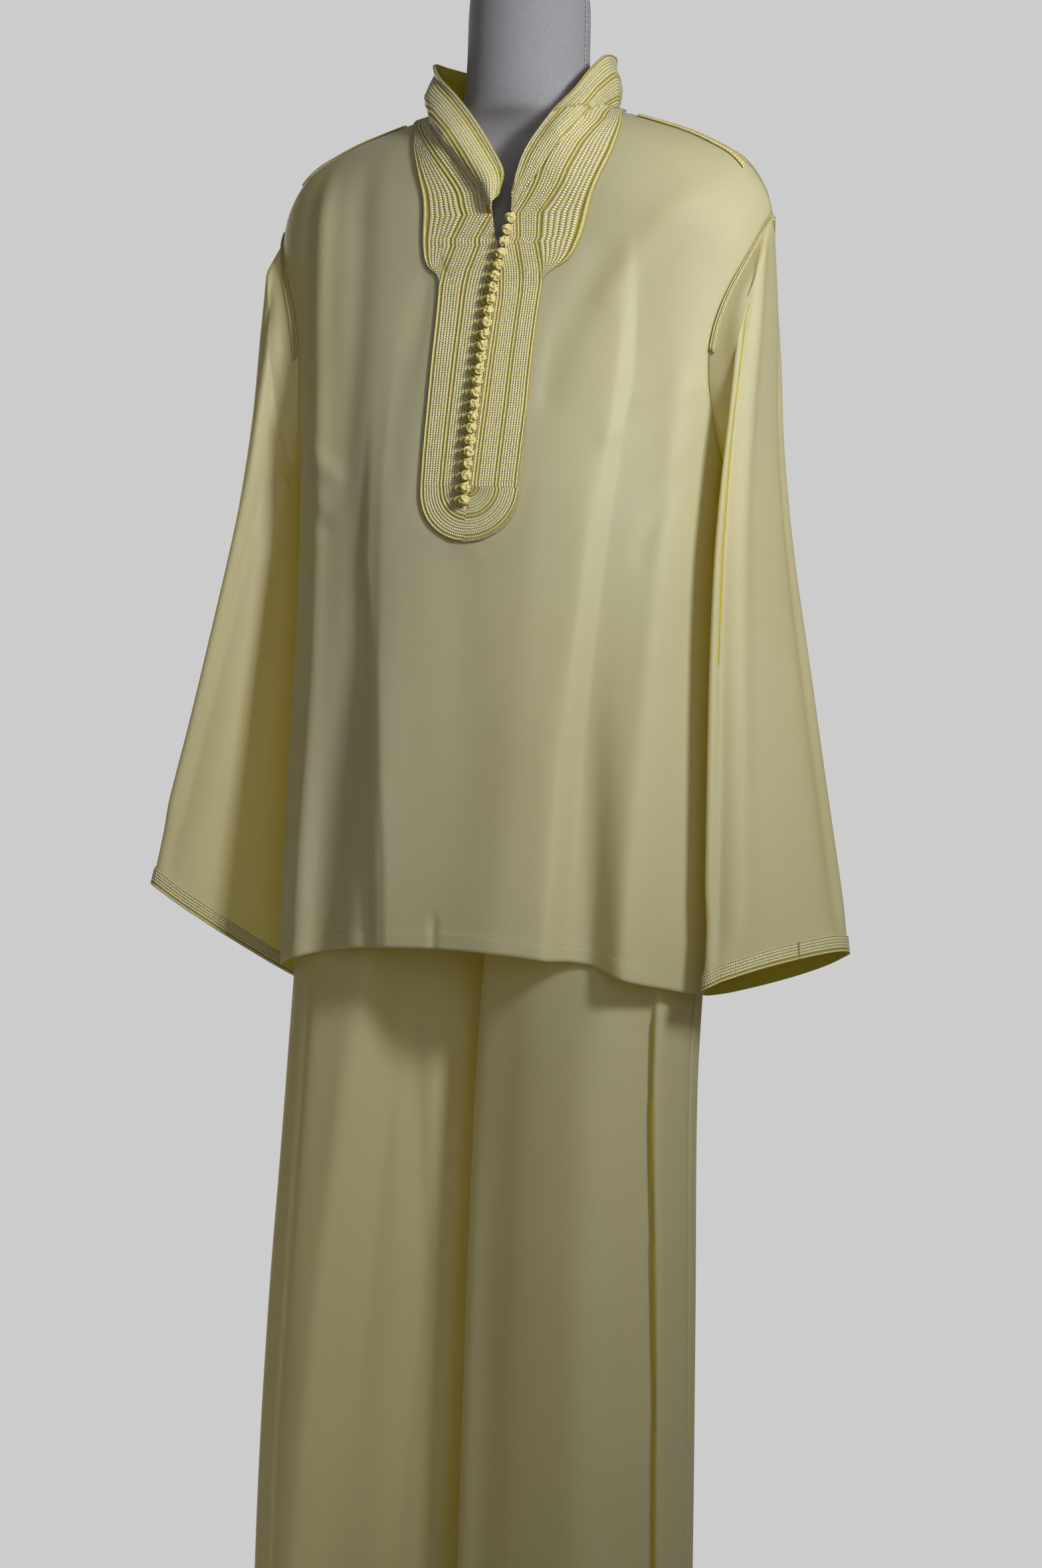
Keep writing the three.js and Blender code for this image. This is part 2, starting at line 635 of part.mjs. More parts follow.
function plastronGrid() {
  const steps = [-1];
  for (let i = 0; i <= PLASTRON_RIBS * 2; i += 1) steps.push(EDGE_CORD_SHARE * (i / PLASTRON_RIBS - 1));
  steps.push(1);
  return PLASTRON_ROWS.map((v) => steps.map((fraction) => {
    let top = FIRST_TOP_Z;
    for (let step = 0; step < SOLVE_STEPS; step += 1) {
      const x = column(PLASTRON, 'mid', top) + column(PLASTRON, 'half', top) * fraction;
      top = (top + panelTop(x, -1) - PLASTRON_TOP_GAP) / 2;
    }
    const z = PLASTRON_BOTTOM_Z + (top - PLASTRON_BOTTOM_Z) * v;
    const x = column(PLASTRON, 'mid', z) + column(PLASTRON, 'half', z) * fraction;
    return { x, z };
  }));
}

// Lifts that keep a strip clear of the front's facets between its own corners
function clearLifts(cells) {
  const lifts = cells.map((row) => row.map(() => BRAID_GAP));
  for (let round = 0; round < LIFT_ROUNDS; round += 1) {
    const points = cells.map((row, r) => row.map((cell, c) => faceAt(cell.x, cell.z, lifts[r][c])));
    for (let r = 0; r < cells.length - 1; r += 1) {
      for (let c = 0; c < cells[0].length - 1; c += 1) {
        const corners = [[r, c], [r, c + 1], [r + 1, c + 1], [r + 1, c]];
        for (const triple of [[0, 1, 2], [0, 2, 3]]) {
          for (const share of CLEAR_SAMPLES) {
            const spot = new THREE.Vector3();
            triple.forEach((k, i) => spot.addScaledVector(points[corners[k][0]][corners[k][1]], share[i]));
            const slant = Math.abs(frontNormal(spot.x, spot.z).y);
            const short = MIN_CLEAR - (onFacets(spot.x, spot.z).y - spot.y) * slant;
            for (const k of short > 0 ? triple : []) {
              const [row, col] = corners[k];
              lifts[row][col] = Math.min(lifts[row][col] + short * LIFT_SHARE, MAX_LIFT);
            }
          }
        }
      }
    }
  }
  return lifts;
}

function faceAt(x, z, distance) {
  return onFacets(x, z).addScaledVector(frontNormal(x, z), distance);
}

// A strip on the tunic's front, as thick as the function says at a row and column
function onFront(cells, thickness) {
  const lifts = clearLifts(cells);
  const lifted = (extra) => cells.map((row, r) => row.map((cell, c) => (
    faceAt(cell.x, cell.z, lifts[r][c] + extra(r, c))
  )));
  return wall(lifted(thickness), lifted(() => 0), false);
}

const plastronCells = plastronGrid();
const plastronWall = onFront(plastronCells, (r, c) => {
  const edge = c < 2 || c > plastronCells[0].length - 3;
  return BRAID_THICK + (edge ? RIB_HEIGHT : (c % 2) * RIB_HEIGHT);
});
const frontInner = moved(frontGrid, frontNormals, -CLOTH);
const clearance = wall(moved(frontGrid, frontNormals, MIN_CLEAR), frontInner, false);
const plastron = toManifold(plastronWall).subtract(cutter).subtract(toManifold(clearance));
const plastronBodies = plastron.decompose().sort((a, b) => b.volume() - a.volume());
add('plastron', fromManifold(plastronBodies[0]), COLOURS.braid);

// Collar: stations from the left end round the back to the right end
function collarStations() {
  const stations = [];
  const place = (hand, row, front) => {
    const shift = front ? neckShift(straight(FRONT_NECK, 'z', row.base, 'x')) : 0;
    const side = front ? -1 : 1;
    const x = shift + hand * row.base;
    const height = straight(front ? FRONT_NECK : BACK_NECK, 'z', row.base, 'x');
    const base = tunicPoint(x, height, side);
    base.x -= hand * COLLAR_GAP * smooth(row.base / COLLAR_FRONT);
    const aside = (row.base - COLLAR_SIDE) / (COLLAR[5].base - COLLAR_SIDE);
    base.z += COLLAR_GAP + COLLAR_SIDE_LIFT * smooth(aside);
    const top = new THREE.Vector3(hand < 0 ? row.leftX : row.rightX, row.y, row.z);
    const full = hand < 0 ? 1 : LEFT_BULGE_SHARE * smooth((row.base - LEFT_BULGE_FROM) / LEFT_BULGE_SPAN);
    return { base, top, full };
  };
  for (const row of COLLAR) stations.push(place(-1, row, true));
  for (const row of COLLAR_BACK) stations.push(place(-1, row, false));
  for (const row of COLLAR_BACK.slice(0, -1).reverse()) stations.push(place(1, row, false));
  for (const row of COLLAR.slice().reverse()) stations.push(place(1, row, true));
  return stations;
}

const stations = collarStations();
const collarRows = [0, 0.33, 0.66, 1];
const bulgeEnd = 1 / 1.2;
const collarGrid = collarRows.map((v) => stations.map((station) => {
  const point = station.base.clone().lerp(station.top, v);
  const bulge = COLLAR_BULGE * Math.sin(Math.PI * Math.min(v / bulgeEnd, 1));
  const aside = new THREE.Vector3(point.x, point.y * 0.6, 0).normalize();
  return point.addScaledVector(aside, bulge * station.full);
}));
const collarNormals = gridNormals(collarGrid, false, (p) => new THREE.Vector3(p.x, p.y, -20));
const collarOuter = moved(collarGrid, collarNormals, BRAID_THICK);
const collarInner = moved(collarGrid, collarNormals, BRAID_THICK - COLLAR_CLOTH);
add('collar', wall(collarOuter, collarInner, false), COLOURS.braid);

// Sleeves
function sleeveRing(rows, s, hand) {
  const at = rows.map((row, i) => ({ ...row, i: i + 1 }));
  const read = (key) => column(at, key, s, 'i');
  const outer = new THREE.Vector3(hand * read('outerX'), read('midY'), read('outerZ'));
  const inner = new THREE.Vector3(hand * read('innerX'), read('midY'), read('innerZ'));
  const centre = outer.clone().add(inner).multiplyScalar(0.5);
  const turn = THREE.MathUtils.degToRad(read('turn'));
  const half = read('half');
  const long = new THREE.Vector3(hand * Math.sin(turn) * half, Math.cos(turn) * half, -read('dip'));
  const short = outer.sub(inner).multiplyScalar(0.5);
  short.y -= Math.sin(turn) * Math.abs(short.x);
  return { centre, long, short };
}

function armholePoint(angle, hand) {
  const front = Math.sin(angle) >= 0;
  const side = front ? -1 : 1;
  const t = (1 + Math.cos(angle)) / 2;
  const z = UNDERARM_Z + (ARMHOLE_TOP_Z - UNDERARM_Z) * t;
  const point = tunicPoint(hand * edgeX(z, side), z, side);
  point.x += hand * SLEEVE_GAP;
  return point;
}

function sleeveGrid(rows, hand) {
  const levels = [0, 0.35, 1, 1.6, 2.3, 3, 3.8, 4.6, 5.4, 6.2, 7, 7.6, 8];
  return levels.map((s) => {
    const ring = [];
    for (let k = 0; k < SLEEVE_POINTS; k += 1) {
      const angle = (2 * Math.PI * k) / SLEEVE_POINTS;
      const start = armholePoint(angle, hand);
      const { centre, long, short } = sleeveRing(rows, Math.max(s, 1), hand);
      const lobe = Math.sign(Math.sin(angle)) * Math.pow(Math.abs(Math.sin(angle)), SLEEVE_LOBE_POWER);
      const body = centre.clone().addScaledVector(short, Math.cos(angle)).addScaledVector(long, -lobe);
      ring.push(s >= 1 ? body : start.lerp(body, s));
    }
    return ring;
  });
}

function sleeveCentre(grid, r) {
  return grid[r].reduce((sum, p) => sum.add(p), new THREE.Vector3()).divideScalar(grid[r].length);
}

// A braid band that lies on the grid it is made from
function band(grid, normals, closed) {
  const outer = moved(grid, normals, BRAID_GAP + BRAID_THICK);
  return wall(outer, moved(grid, normals, BRAID_GAP), closed);
}

for (const [name, rows, hand] of [['left', LEFT_SLEEVE, 1], ['right', RIGHT_SLEEVE, -1]]) {
  const grid = sleeveGrid(rows, hand);
  const centres = grid.map((row, r) => sleeveCentre(grid, r));
  const normals = gridNormals(grid, true, (p, r) => p.clone().sub(centres[r]));
  add(`sleeve_${name}`, wall(grid, moved(grid, normals, -CLOTH), true), COLOURS.cloth);
  const cuffLength = grid[grid.length - 1][0].distanceTo(grid[grid.length - 2][0]);
  const cuffShare = Math.min(CUFF_BAND / cuffLength, 1);
  const end = grid.length - 1;
  const cuffTop = grid[end].map((p, c) => p.clone().lerp(grid[end - 1][c], cuffShare));
  const mix = (row, next, c, share) => normals[row][c].clone().lerp(normals[next][c], share).normalize();
  const cuffTopNormals = grid[end].map((p, c) => mix(end, end - 1, c, cuffShare));
  const cuff = band([cuffTop, grid[end]], [cuffTopNormals, normals[end]], true);
  add(`cuff_braid_${name}`, cuff, COLOURS.braid);
  const arc = [];
  for (let k = -ARMHOLE_ARC; k <= ARMHOLE_ARC; k += 1) arc.push((k + SLEEVE_POINTS) % SLEEVE_POINTS);
  const share = (k) => clamp(ARMHOLE_BAND / grid[0][k].distanceTo(grid[1][k]), 0, 1);
  const armTop = arc.map((k) => grid[0][k].clone().lerp(grid[1][k], ARMHOLE_BAND_START));
  const armTopNormals = arc.map((k) => mix(0, 1, k, ARMHOLE_BAND_START));
  const armLow = arc.map((k) => grid[0][k].clone().lerp(grid[1][k], share(k)));
  const armLowNormals = arc.map((k) => mix(0, 1, k, share(k)));
  const armhole = band([armTop, armLow], [armTopNormals, armLowNormals], false);
  add(`armhole_braid_${name}`, armhole, COLOURS.braid);
}

// Shoulder seam braids lie on the front just before the seam
for (const [name, hand] of [['left', 1], ['right', -1]]) {
  const { fromX, toX, steps, below: rows } = SHOULDER_BRAID;
  const cells = rows.map((below) => {
    const row = [];
    for (let i = 0; i <= steps; i += 1) {
      const x = hand * (fromX + (toX - fromX) * (i / steps));
      row.push({ x, z: shoulderHeight(x) - below });
    }
    return row;
  });
  add(`shoulder_braid_${name}`, onFront(cells, () => BRAID_THICK), COLOURS.braid);
}

// Buttons and the loop cord beside them
const buttonLift = BRAID_GAP + BRAID_THICK + RIB_HEIGHT + BUTTON_CLEAR + BUTTON_RADIUS;
for (let i = 0; i < BUTTON_COUNT; i += 1) {
  const t = i / (BUTTON_COUNT - 1);
  const z = BUTTON_TOP_Z + (BUTTON_BOTTOM_Z - BUTTON_TOP_Z) * t;
  const ball = new THREE.IcosahedronGeometry(BUTTON_RADIUS, 1);
  const place = faceAt(column(BUTTON_LINE, 'x', z), z, buttonLift);
  ball.translate(place.x, place.y, place.z);
  add(`button_${String(i + 1).padStart(2, '0')}`, ball, COLOURS.cord);
}

const loopLift = BRAID_GAP + BRAID_THICK + RIB_HEIGHT + LOOP_CLEAR + LOOP_RADIUS;
const loopPoints = [];
for (let i = 0; i <= (BUTTON_COUNT - 1) * 2; i += 1) {
  const t = i / ((BUTTON_COUNT - 1) * 2);
  const z = LOOP_TOP_Z + (BUTTON_BOTTOM_Z - LOOP_TOP_Z) * t;
  const swing = LOOP_SWING * Math.cos(Math.PI * i);
  loopPoints.push(faceAt(column(BUTTON_LINE, 'x', z) - LOOP_OFFSET + swing, z, loopLift));
}
const loopShape = new THREE.Shape().absarc(0, 0, LOOP_RADIUS, 0, Math.PI * 2);
const loopPath = new THREE.CatmullRomCurve3(loopPoints);
const loopCord = new THREE.ExtrudeGeometry(loopShape, {
  steps: (BUTTON_COUNT - 1) * 2,
  curveSegments: 3,
  bevelEnabled: false,
  extrudePath: loopPath,
});
add('button_loop_cord', loopCord, COLOURS.cord);

// Trousers: a panel is a quarter of the seat above the crotch and half a leg below it
function trouserPoint(s, z, hand, side) {
  const half = column(TROUSERS, 'half', z);
  const shift = column(TROUSERS, 'shift', z);
  const reach = column(TROUSERS, side < 0 ? 'front' : 'back', z);
  const seat = smooth((z - CROTCH_Z) / (RISE_TOP_Z - CROTCH_Z));
  const power = 2 / SECTION_POWER;
  const legAngle = s * Math.PI;
  const legCos = Math.cos(legAngle);
  const legX = (half / 2) * (1 + Math.sign(legCos) * Math.pow(Math.abs(legCos), power));
  const legY = reach * Math.pow(Math.sin(legAngle), power);
  const seatAngle = (s * Math.PI) / 2;
  const seatX = half * Math.pow(Math.max(Math.cos(seatAngle), 0), power);
  const seatY = reach * Math.pow(Math.sin(seatAngle), power);
  const x = Math.max(legX + (seatX - legX) * seat, 0);
  let y = legY + (seatY - legY) * seat;
  for (const fold of LEG_FOLDS) {
    const at = side < 0 ? fold.at : 1 - fold.at;
    const strength = smooth((fold.from - z) / LEG_FOLD_FADE) * smooth(Math.sin(Math.PI * s) * 2);
    y += side * fold.reach * strength * hump(s - at, fold.spread);
  }
  const inward = LEG_SEAM_GAP + (SEAM_HALF_GAP - LEG_SEAM_GAP) * seat;
  return new THREE.Vector3(shift + hand * (x + inward), y - TROUSER_SHIFT_Y + side * SEAM_HALF_GAP, z);
}

const TROUSER_ROWS = [
  TROUSER_HEM_Z, 170, 310, 460, 610, 700, CROTCH_Z, 765, 795, 825, RISE_TOP_Z, 900, 950, TROUSER_TOP_Z,
];
for (const [sideName, side] of [['front', -1], ['back', 1]]) {
  for (const [handName, hand] of [['left', 1], ['right', -1]]) {
    const grid = TROUSER_ROWS.map((z) => {
      const row = [];
      for (let i = 0; i <= PANEL_STEPS; i += 1) row.push(trouserPoint(i / PANEL_STEPS, z, hand, side));
      return row;
    });
    const normals = gridNormals(grid, false, (p) => {
      const seat = smooth((p.z - CROTCH_Z) / (RISE_TOP_Z - CROTCH_Z));
      const legMiddle = (column(TROUSERS, 'half', p.z) / 2) * (1 - seat);
      const centre = column(TROUSERS, 'shift', p.z) + hand * legMiddle;
      return new THREE.Vector3(p.x - centre, p.y + TROUSER_SHIFT_Y + side * 6, 0);
    });
    const panel = wall(grid, moved(grid, normals, -CLOTH), false);
    add(`trouser_${sideName}_${handName}`, panel, COLOURS.cloth);
  }
}

// Waistband, a ring above the trouser panels
const waistRow = TROUSERS[TROUSERS.length - 1];
const waistGrid = [0, 0.5, 1].map((v) => {
  const ring = [];
  for (let k = 0; k < WAIST_POINTS; k += 1) {
    const angle = (2 * Math.PI * k) / WAIST_POINTS;
    const cos = Math.cos(angle);
    const sin = Math.sin(angle);
    const power = 2 / SECTION_POWER;
    const x = (waistRow.half - WAISTBAND_INSET) * Math.sign(cos) * Math.pow(Math.abs(cos), power);
    const reach = sin < 0 ? -waistRow.front : waistRow.back;
    const y = (reach - WAISTBAND_INSET) * Math.sign(sin) * Math.pow(Math.abs(sin), power);
    const z = TROUSER_TOP_Z + WAISTBAND_GAP + WAISTBAND_HEIGHT * v;
    ring.push(new THREE.Vector3(x, y - TROUSER_SHIFT_Y, z));
  }
  return ring;
});
const fromWaist = (p) => new THREE.Vector3(p.x, p.y + TROUSER_SHIFT_Y, 0);
const waistNormals = gridNormals(waistGrid, true, fromWaist);
add('waistband', wall(waistGrid, moved(waistGrid, waistNormals, -CLOTH), true), COLOURS.cloth);

// Dress form, pole and base
const formRings = FORM.map((row) => {
  const ring = [];
  for (let k = 0; k < FORM_POINTS; k += 1) {
    const angle = (2 * Math.PI * k) / FORM_POINTS;
    const cos = Math.cos(angle);
    const sin = Math.sin(angle);
    const power = 2 / row.power;
    const x = row.half * Math.sign(cos) * Math.pow(Math.abs(cos), power);
    const reach = sin < 0 ? -row.front : row.back;
    ring.push(new THREE.Vector3(x, reach * Math.sign(sin) * Math.pow(Math.abs(sin), power), row.z));
  }
  return ring;
});
add('form_body', solidRings(formRings), COLOURS.form, { roughness: 0.9 });

const poleBottom = BASE.height + BOSS.height + STAND_GAP;
const poleTop = FORM_BOTTOM_Z - STAND_GAP;
const pole = new THREE.CylinderGeometry(POLE.radius, POLE.radius, poleTop - poleBottom, POLE.sides);
pole.rotateX(Math.PI / 2);
pole.translate(POLE.x, POLE.y, (poleTop + poleBottom) / 2);
add('pole', pole, COLOURS.pole, { roughness: 0.3, metalness: 0.9 });

const disc = new THREE.CylinderGeometry(BASE.radius, BASE.radius, BASE.height, BASE.sides);
disc.rotateX(Math.PI / 2);
disc.translate(0, 0, BASE.height / 2);
const bossHeight = BOSS.height + BOSS.sunk;
const boss = new THREE.CylinderGeometry(BOSS.radius, BOSS.foot, bossHeight, POLE.sides);
boss.rotateX(Math.PI / 2);
boss.translate(POLE.x, POLE.y, BASE.height + BOSS.height - bossHeight / 2);
const baseBody = fromManifold(toManifold(disc).add(toManifold(boss)));
add('base', baseBody, COLOURS.base, { roughness: 0.5, metalness: 0.5 });

// The frame's origin is under the middle of the whole
group.updateMatrixWorld(true);
const bounds = new THREE.Box3().setFromObject(group);
const centre = bounds.getCenter(new THREE.Vector3());
for (const mesh of group.children) mesh.geometry.translate(-centre.x, -centre.y, -bounds.min.z);

export default group;
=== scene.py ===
import math

import bpy
import numpy as np
from mathutils import Matrix, Vector


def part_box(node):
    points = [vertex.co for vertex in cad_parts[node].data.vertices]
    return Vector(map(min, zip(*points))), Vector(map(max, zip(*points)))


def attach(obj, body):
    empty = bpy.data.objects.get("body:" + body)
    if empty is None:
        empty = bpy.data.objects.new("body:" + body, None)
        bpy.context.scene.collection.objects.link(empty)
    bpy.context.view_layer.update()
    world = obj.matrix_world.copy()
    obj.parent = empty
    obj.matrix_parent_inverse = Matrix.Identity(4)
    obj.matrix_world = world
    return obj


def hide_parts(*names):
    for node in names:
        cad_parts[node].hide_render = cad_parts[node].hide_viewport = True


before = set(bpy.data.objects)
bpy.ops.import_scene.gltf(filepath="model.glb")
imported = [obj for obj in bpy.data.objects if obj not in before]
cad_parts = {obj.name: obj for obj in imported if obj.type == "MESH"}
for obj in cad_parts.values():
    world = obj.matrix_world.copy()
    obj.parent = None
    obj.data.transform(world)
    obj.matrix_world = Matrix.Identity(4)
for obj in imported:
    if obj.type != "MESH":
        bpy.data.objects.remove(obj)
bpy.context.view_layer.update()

MM = 0.001
base_low, base_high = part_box("base")
SHIFT_X = (base_low[0] + base_high[0]) / 2
SHIFT_Y = (base_low[1] + base_high[1]) / 2

# Heights of the garment, in millimetres
UNDERARM_Z = 1150
ARMHOLE_TOP_Z = 1366
SIDE_HEM_Z = 690
CROTCH_Z = 738
RISE_TOP_Z = 855
TROUSER_TOP_Z = 1010
TROUSER_HEM_Z = 46
HEM_HALF = 203
FRONT_HEM_RISE = 36
BACK_HEM_RISE = 10
HEM_CURVE_POWER = 2.4
NECK_Z = 1336
SLIT_BOTTOM_Z = 1104
SLIT_BOTTOM_X = 4
SLIT_TOP_X = 13
PLASTRON_BOTTOM_Z = 1076
PLASTRON_LOBE_Z = 1300.0
PLASTRON_TURN_Z = 1123
PLASTRON_HALF = 47
SECTION_POWER = 2.4
SHOULDER_ROUND = 90
ARMHOLE_HALF_GAP = 42
SHOULDER_HALF_WIDTH = 234
SHELL = 1.0
SEAM_HALF_GAP = 0.2
LEG_SEAM_GAP = 2.4
LEG_FOLD_FADE = 500
TROUSER_SHIFT_Y = 12
WAIST_LOW = 1010.4
WAIST_HEIGHT = 30
CUFF_BAND = 15
ARMHOLE_BAND = 6
SHOULDER_BRAID_X = (112, 210)
BUTTON_COUNT = 25
BUTTON_TOP_Z = 1357
BUTTON_BOTTOM_Z = 1111
SOLVE_STEPS = 30
COLLAR_GAP = 0.6
COLLAR_SIDE_LIFT = 2.2
COLLAR_BULGE = 11
LEFT_BULGE_SHARE = 0.55
PLASTRON_UNDER = 0.45
SLEEVE_COLUMNS = 104
SLEEVE_ROWS = 150
# The cloth to the middle of a knot: gap, braid, rib, clearance and radius
BUTTON_LIFT = 0.55 + 1.5 + 0.5 + 0.15 + 4.7

TUNIC = np.array([
    (690, 203, -16, -146, 113),
    (760, 204, -16, -145, 113),
    (850, 202, -16, -141, 112),
    (950, 199, -16, -136, 108),
    (1050, 197, -16, -130, 101),
    (1131, 199, -15, -123, 96),
    (1223, 207, -14, -107, 92),
    (1301, 222, -12, -91, 84),
    (1366, 234, -8, -83, 76),
    (1470, 234, -2, -80, 68),
], float)
HALF, SEAM, FRONT, BACK = 1, 2, 3, 4

SHOULDER = np.array([
    (0, 1512), (40, 1497), (60, 1480), (78, 1466), (108, 1457), (134, 1449), (158, 1441),
    (181, 1431), (200, 1421), (213, 1409), (222, 1396), (229, 1382), (234, 1366),
], float)
FRONT_NECK = np.array([
    (0, 1336), (4, 1341), (9, 1362), (20, 1381), (36, 1400), (54, 1424), (68, 1445), (76, 1460), (79, 1464.6),
], float)
BACK_NECK = np.array([(0, 1449), (30, 1451), (55, 1456), (72, 1461), (79, 1464.6)], float)
NECK_SHIFT = np.array([(1336, 12), (1400, 11), (1430, 6), (1465, 0)], float)
PLASTRON = np.array([
    (1076, 6, 4), (1079, 6, 17), (1085, 6, 29), (1095, 6, 39), (1108, 6, 45), (1123, 6, 47),
    (1223, 5, 47), (1303, 6, 49), (1310, 7, 53), (1319, 9, 65), (1332, 11, 72), (1350, 13, 76),
    (1380, 15, 80), (1415, 15, 91), (1440, 9, 97), (1460, -2, 99),
], float)
BUTTON_LINE = np.array([
    (1111, 4), (1199, 6), (1262, 9), (1300, 12), (1325, 16), (1345, 20), (1357, 23),
], float)

# Large folds shared with the solids: foot, head, spread, reach, height where they fade
FRONT_FOLDS = [
    (-86, -70, 24, 13, 1010), (-128, -110, 24, -15, 1060), (-165, -160, 22, 5, 980),
    (122, 112, 20, -12, 1040), (158, 140, 22, 8, 1000), (30, 20, 34, 5, 900),
]
BACK_FOLDS = [
    (-110, -95, 26, 10, 1020), (-62, -60, 24, -11, 1060), (20, 12, 30, 9, 980),
    (84, 76, 24, -12, 1050), (132, 120, 24, 9, 1000),
]

LEFT_SLEEVE = np.array([
    (1, 236, 1336, 207, 1138, -13, 47, 0, 0),
    (2, 237, 1278, 207, 1112, -12, 54, 2, 0),
    (3, 236, 1200, 208, 1078, -11, 60, 5, 0),
    (4, 240, 1112, 211, 1024, -12, 65, 10, -1),
    (5, 249, 1014, 216, 948, -12, 69, 16, -3),
    (6, 261, 904, 223, 856, -12, 74, 21, -5),
    (7, 272, 803, 231, 768, -12, 80, 25, -8),
    (8, 280, 724, 237, 696, -13, 86, 27, -10),
], float)
RIGHT_SLEEVE = np.array([
    (1, 236, 1336, 207, 1138, -13, 47, 0, 0),
    (2, 237, 1278, 207, 1112, -13, 54, -3, 2),
    (3, 238, 1200, 208, 1078, -14, 60, -7, 5),
    (4, 243, 1112, 212, 1022, -15, 65, -13, 11),
    (5, 253, 1014, 219, 945, -17, 70, -19, 19),
    (6, 267, 906, 228, 856, -18, 76, -24, 29),
    (7, 281, 806, 238, 770, -19, 82, -28, 40),
    (8, 291, 728, 246, 702, -20, 86, -30, 47),
], float)
OUTER_X, OUTER_Z, INNER_X, INNER_Z, MID_Y, BREADTH, TURN, DIP = 1, 2, 3, 4, 5, 6, 7, 8

# Collar stations: base, free edge on the right of the wearer, on the left, depth, height
COLLAR = [
    (9, 10, 22, -87, 1381), (20, 13, 25, -85, 1399), (36, 0, 32, -80, 1421), (54, -21, 48, -71, 1448),
    (68, -45, 64, -56, 1472), (76, -72, 71, -34, 1494),
]
COLLAR_BACK = [
    (79, -89, 76, -8, 1511), (72, -87, 75, 20, 1513), (55, -67, 61, 48, 1510),
    (30, -39, 38, 65, 1506), (0, 0, 0, 71, 1504),
]

TROUSERS = np.array([
    (46, 205, -88, 84, -14), (200, 203, -88, 84, -14), (400, 197, -88, 86, -12), (600, 188, -88, 90, -8),
    (738, 185, -90, 95, -2), (855, 180, -93, 103, 0), (930, 164, -92, 98, 0), (1010, 131, -84, 88, 0),
], float)
LEG_FOLDS = [(0.28, 0.07, -9, 850), (0.42, 0.09, 6, 800), (0.7, 0.08, -7, 760)]

FORM = np.array([
    (862, 154, -84, 78, 2.2), (874, 163, -89, 84, 2.2), (930, 148, -86, 79, 2.2), (1010, 116, -80, 70, 2.1),
    (1080, 126, -92, 76, 2.1), (1150, 142, -106, 82, 2.1), (1220, 156, -96, 82, 2.2),
    (1290, 168, -80, 76, 2.3), (1350, 178, -66, 64, 2.4), (1395, 180, -54, 52, 2.4),
    (1420, 166, -44, 44, 2.4), (1436, 140, -38, 40, 2.3),
    (1446, 110, -40, 41, 2.2), (1453, 86, -44, 43, 2.1), (1464, 64, -53, 48, 2.0), (1490, 56, -57, 51, 2.0),
    (1560, 54, -56, 50, 2.0), (1576, 50, -52, 46, 2.0),
], float)


def curve(table, key, at):
    """Smooth reading of a table's column, the same curve as the solids use."""
    xs, ys = table[:, 0], table[:, key]
    at = np.clip(np.asarray(at, float), xs[0], xs[-1])
    last = len(xs) - 1
    i = np.clip(np.searchsorted(xs, at, side="left") - 1, 0, last - 1)
    before = np.maximum(i - 1, 0)
    after = np.minimum(i + 2, last)
    span = xs[i + 1] - xs[i]
    t = (at - xs[i]) / span
    slope1 = (ys[i + 1] - ys[before]) / (xs[i + 1] - xs[before])
    slope2 = (ys[after] - ys[i]) / (xs[after] - xs[i])
    t2, t3 = t * t, t * t * t
    ends = (2 * t3 - 3 * t2 + 1) * ys[i] + (3 * t2 - 2 * t3) * ys[i + 1]
    return ends + (t3 - 2 * t2 + t) * slope1 * span + (t3 - t2) * slope2 * span


def straight(table, key, at):
    return np.interp(at, table[:, 0], table[:, key])


def smooth(t):
    c = np.clip(t, 0, 1)
    return c * c * (3 - 2 * c)


def hump(distance, spread):
    return np.exp(-(distance / spread) ** 2)


def unit(vectors):
    return vectors / (np.linalg.norm(vectors, axis=-1, keepdims=True) + 1e-12)


def signed_power(v, power):
    return np.sign(v) * np.abs(v) ** power


def depth_factor(fraction, power):
    return np.maximum(1 - np.abs(fraction) ** power, 0) ** (1 / power)


def shoulder_height(x):
    return curve(SHOULDER, 1, np.abs(x))


def uneven(u, v, seed, count=6):
    """Soft uneven waves between -1 and 1, the same on each run."""
    rng = np.random.RandomState(seed)
    total = 0
    for _ in range(count):
        a, b = rng.uniform(-1, 1, 2)
        phase = rng.uniform(0, 6.28)
        total = total + np.sin(a * u + b * v + phase)
    return total / count


def round_over(x, z):
    below = np.clip((shoulder_height(x) - z) / SHOULDER_ROUND, 0, 1)
    return np.sqrt(np.maximum(1 - (1 - below) ** 2, 0))


def large_folds(folds, x, z):
    total = 0
    for foot, head, spread, reach, fades in folds:
        rise = np.clip((z - SIDE_HEM_Z) / (fades - SIDE_HEM_Z), 0, 1)
        total = total + reach * (1 - smooth(rise)) * hump(x - (foot + (head - foot) * rise), spread)
    return total


def follow(x, z, path, fade):
    """Distance from a path of (height, x) pairs, and the share of the fold left at each height."""
    heights, places = np.array(path, float).T
    ends = smooth((z - heights[0] + fade) / fade) * smooth((heights[-1] + fade - z) / fade)
    return x - np.interp(z, heights, places), ends


def along(x, z, path, spread, reach, fade):
    """A trough or ridge along a path, soft at both ends."""
    off, ends = follow(x, z, path, fade)
    return reach * ends * hump(off, spread)


def lip(x, z, path, left, right, reach, fade, least=1.0):
    """A fold along a path that is steeper on one side than on the other."""
    off, ends = follow(x, z, path, fade)
    fold = reach * ends * hump(off, np.where(off < 0, left, right))
    return fold * (least + (1 - least) * smooth((1120 - z) / 380))


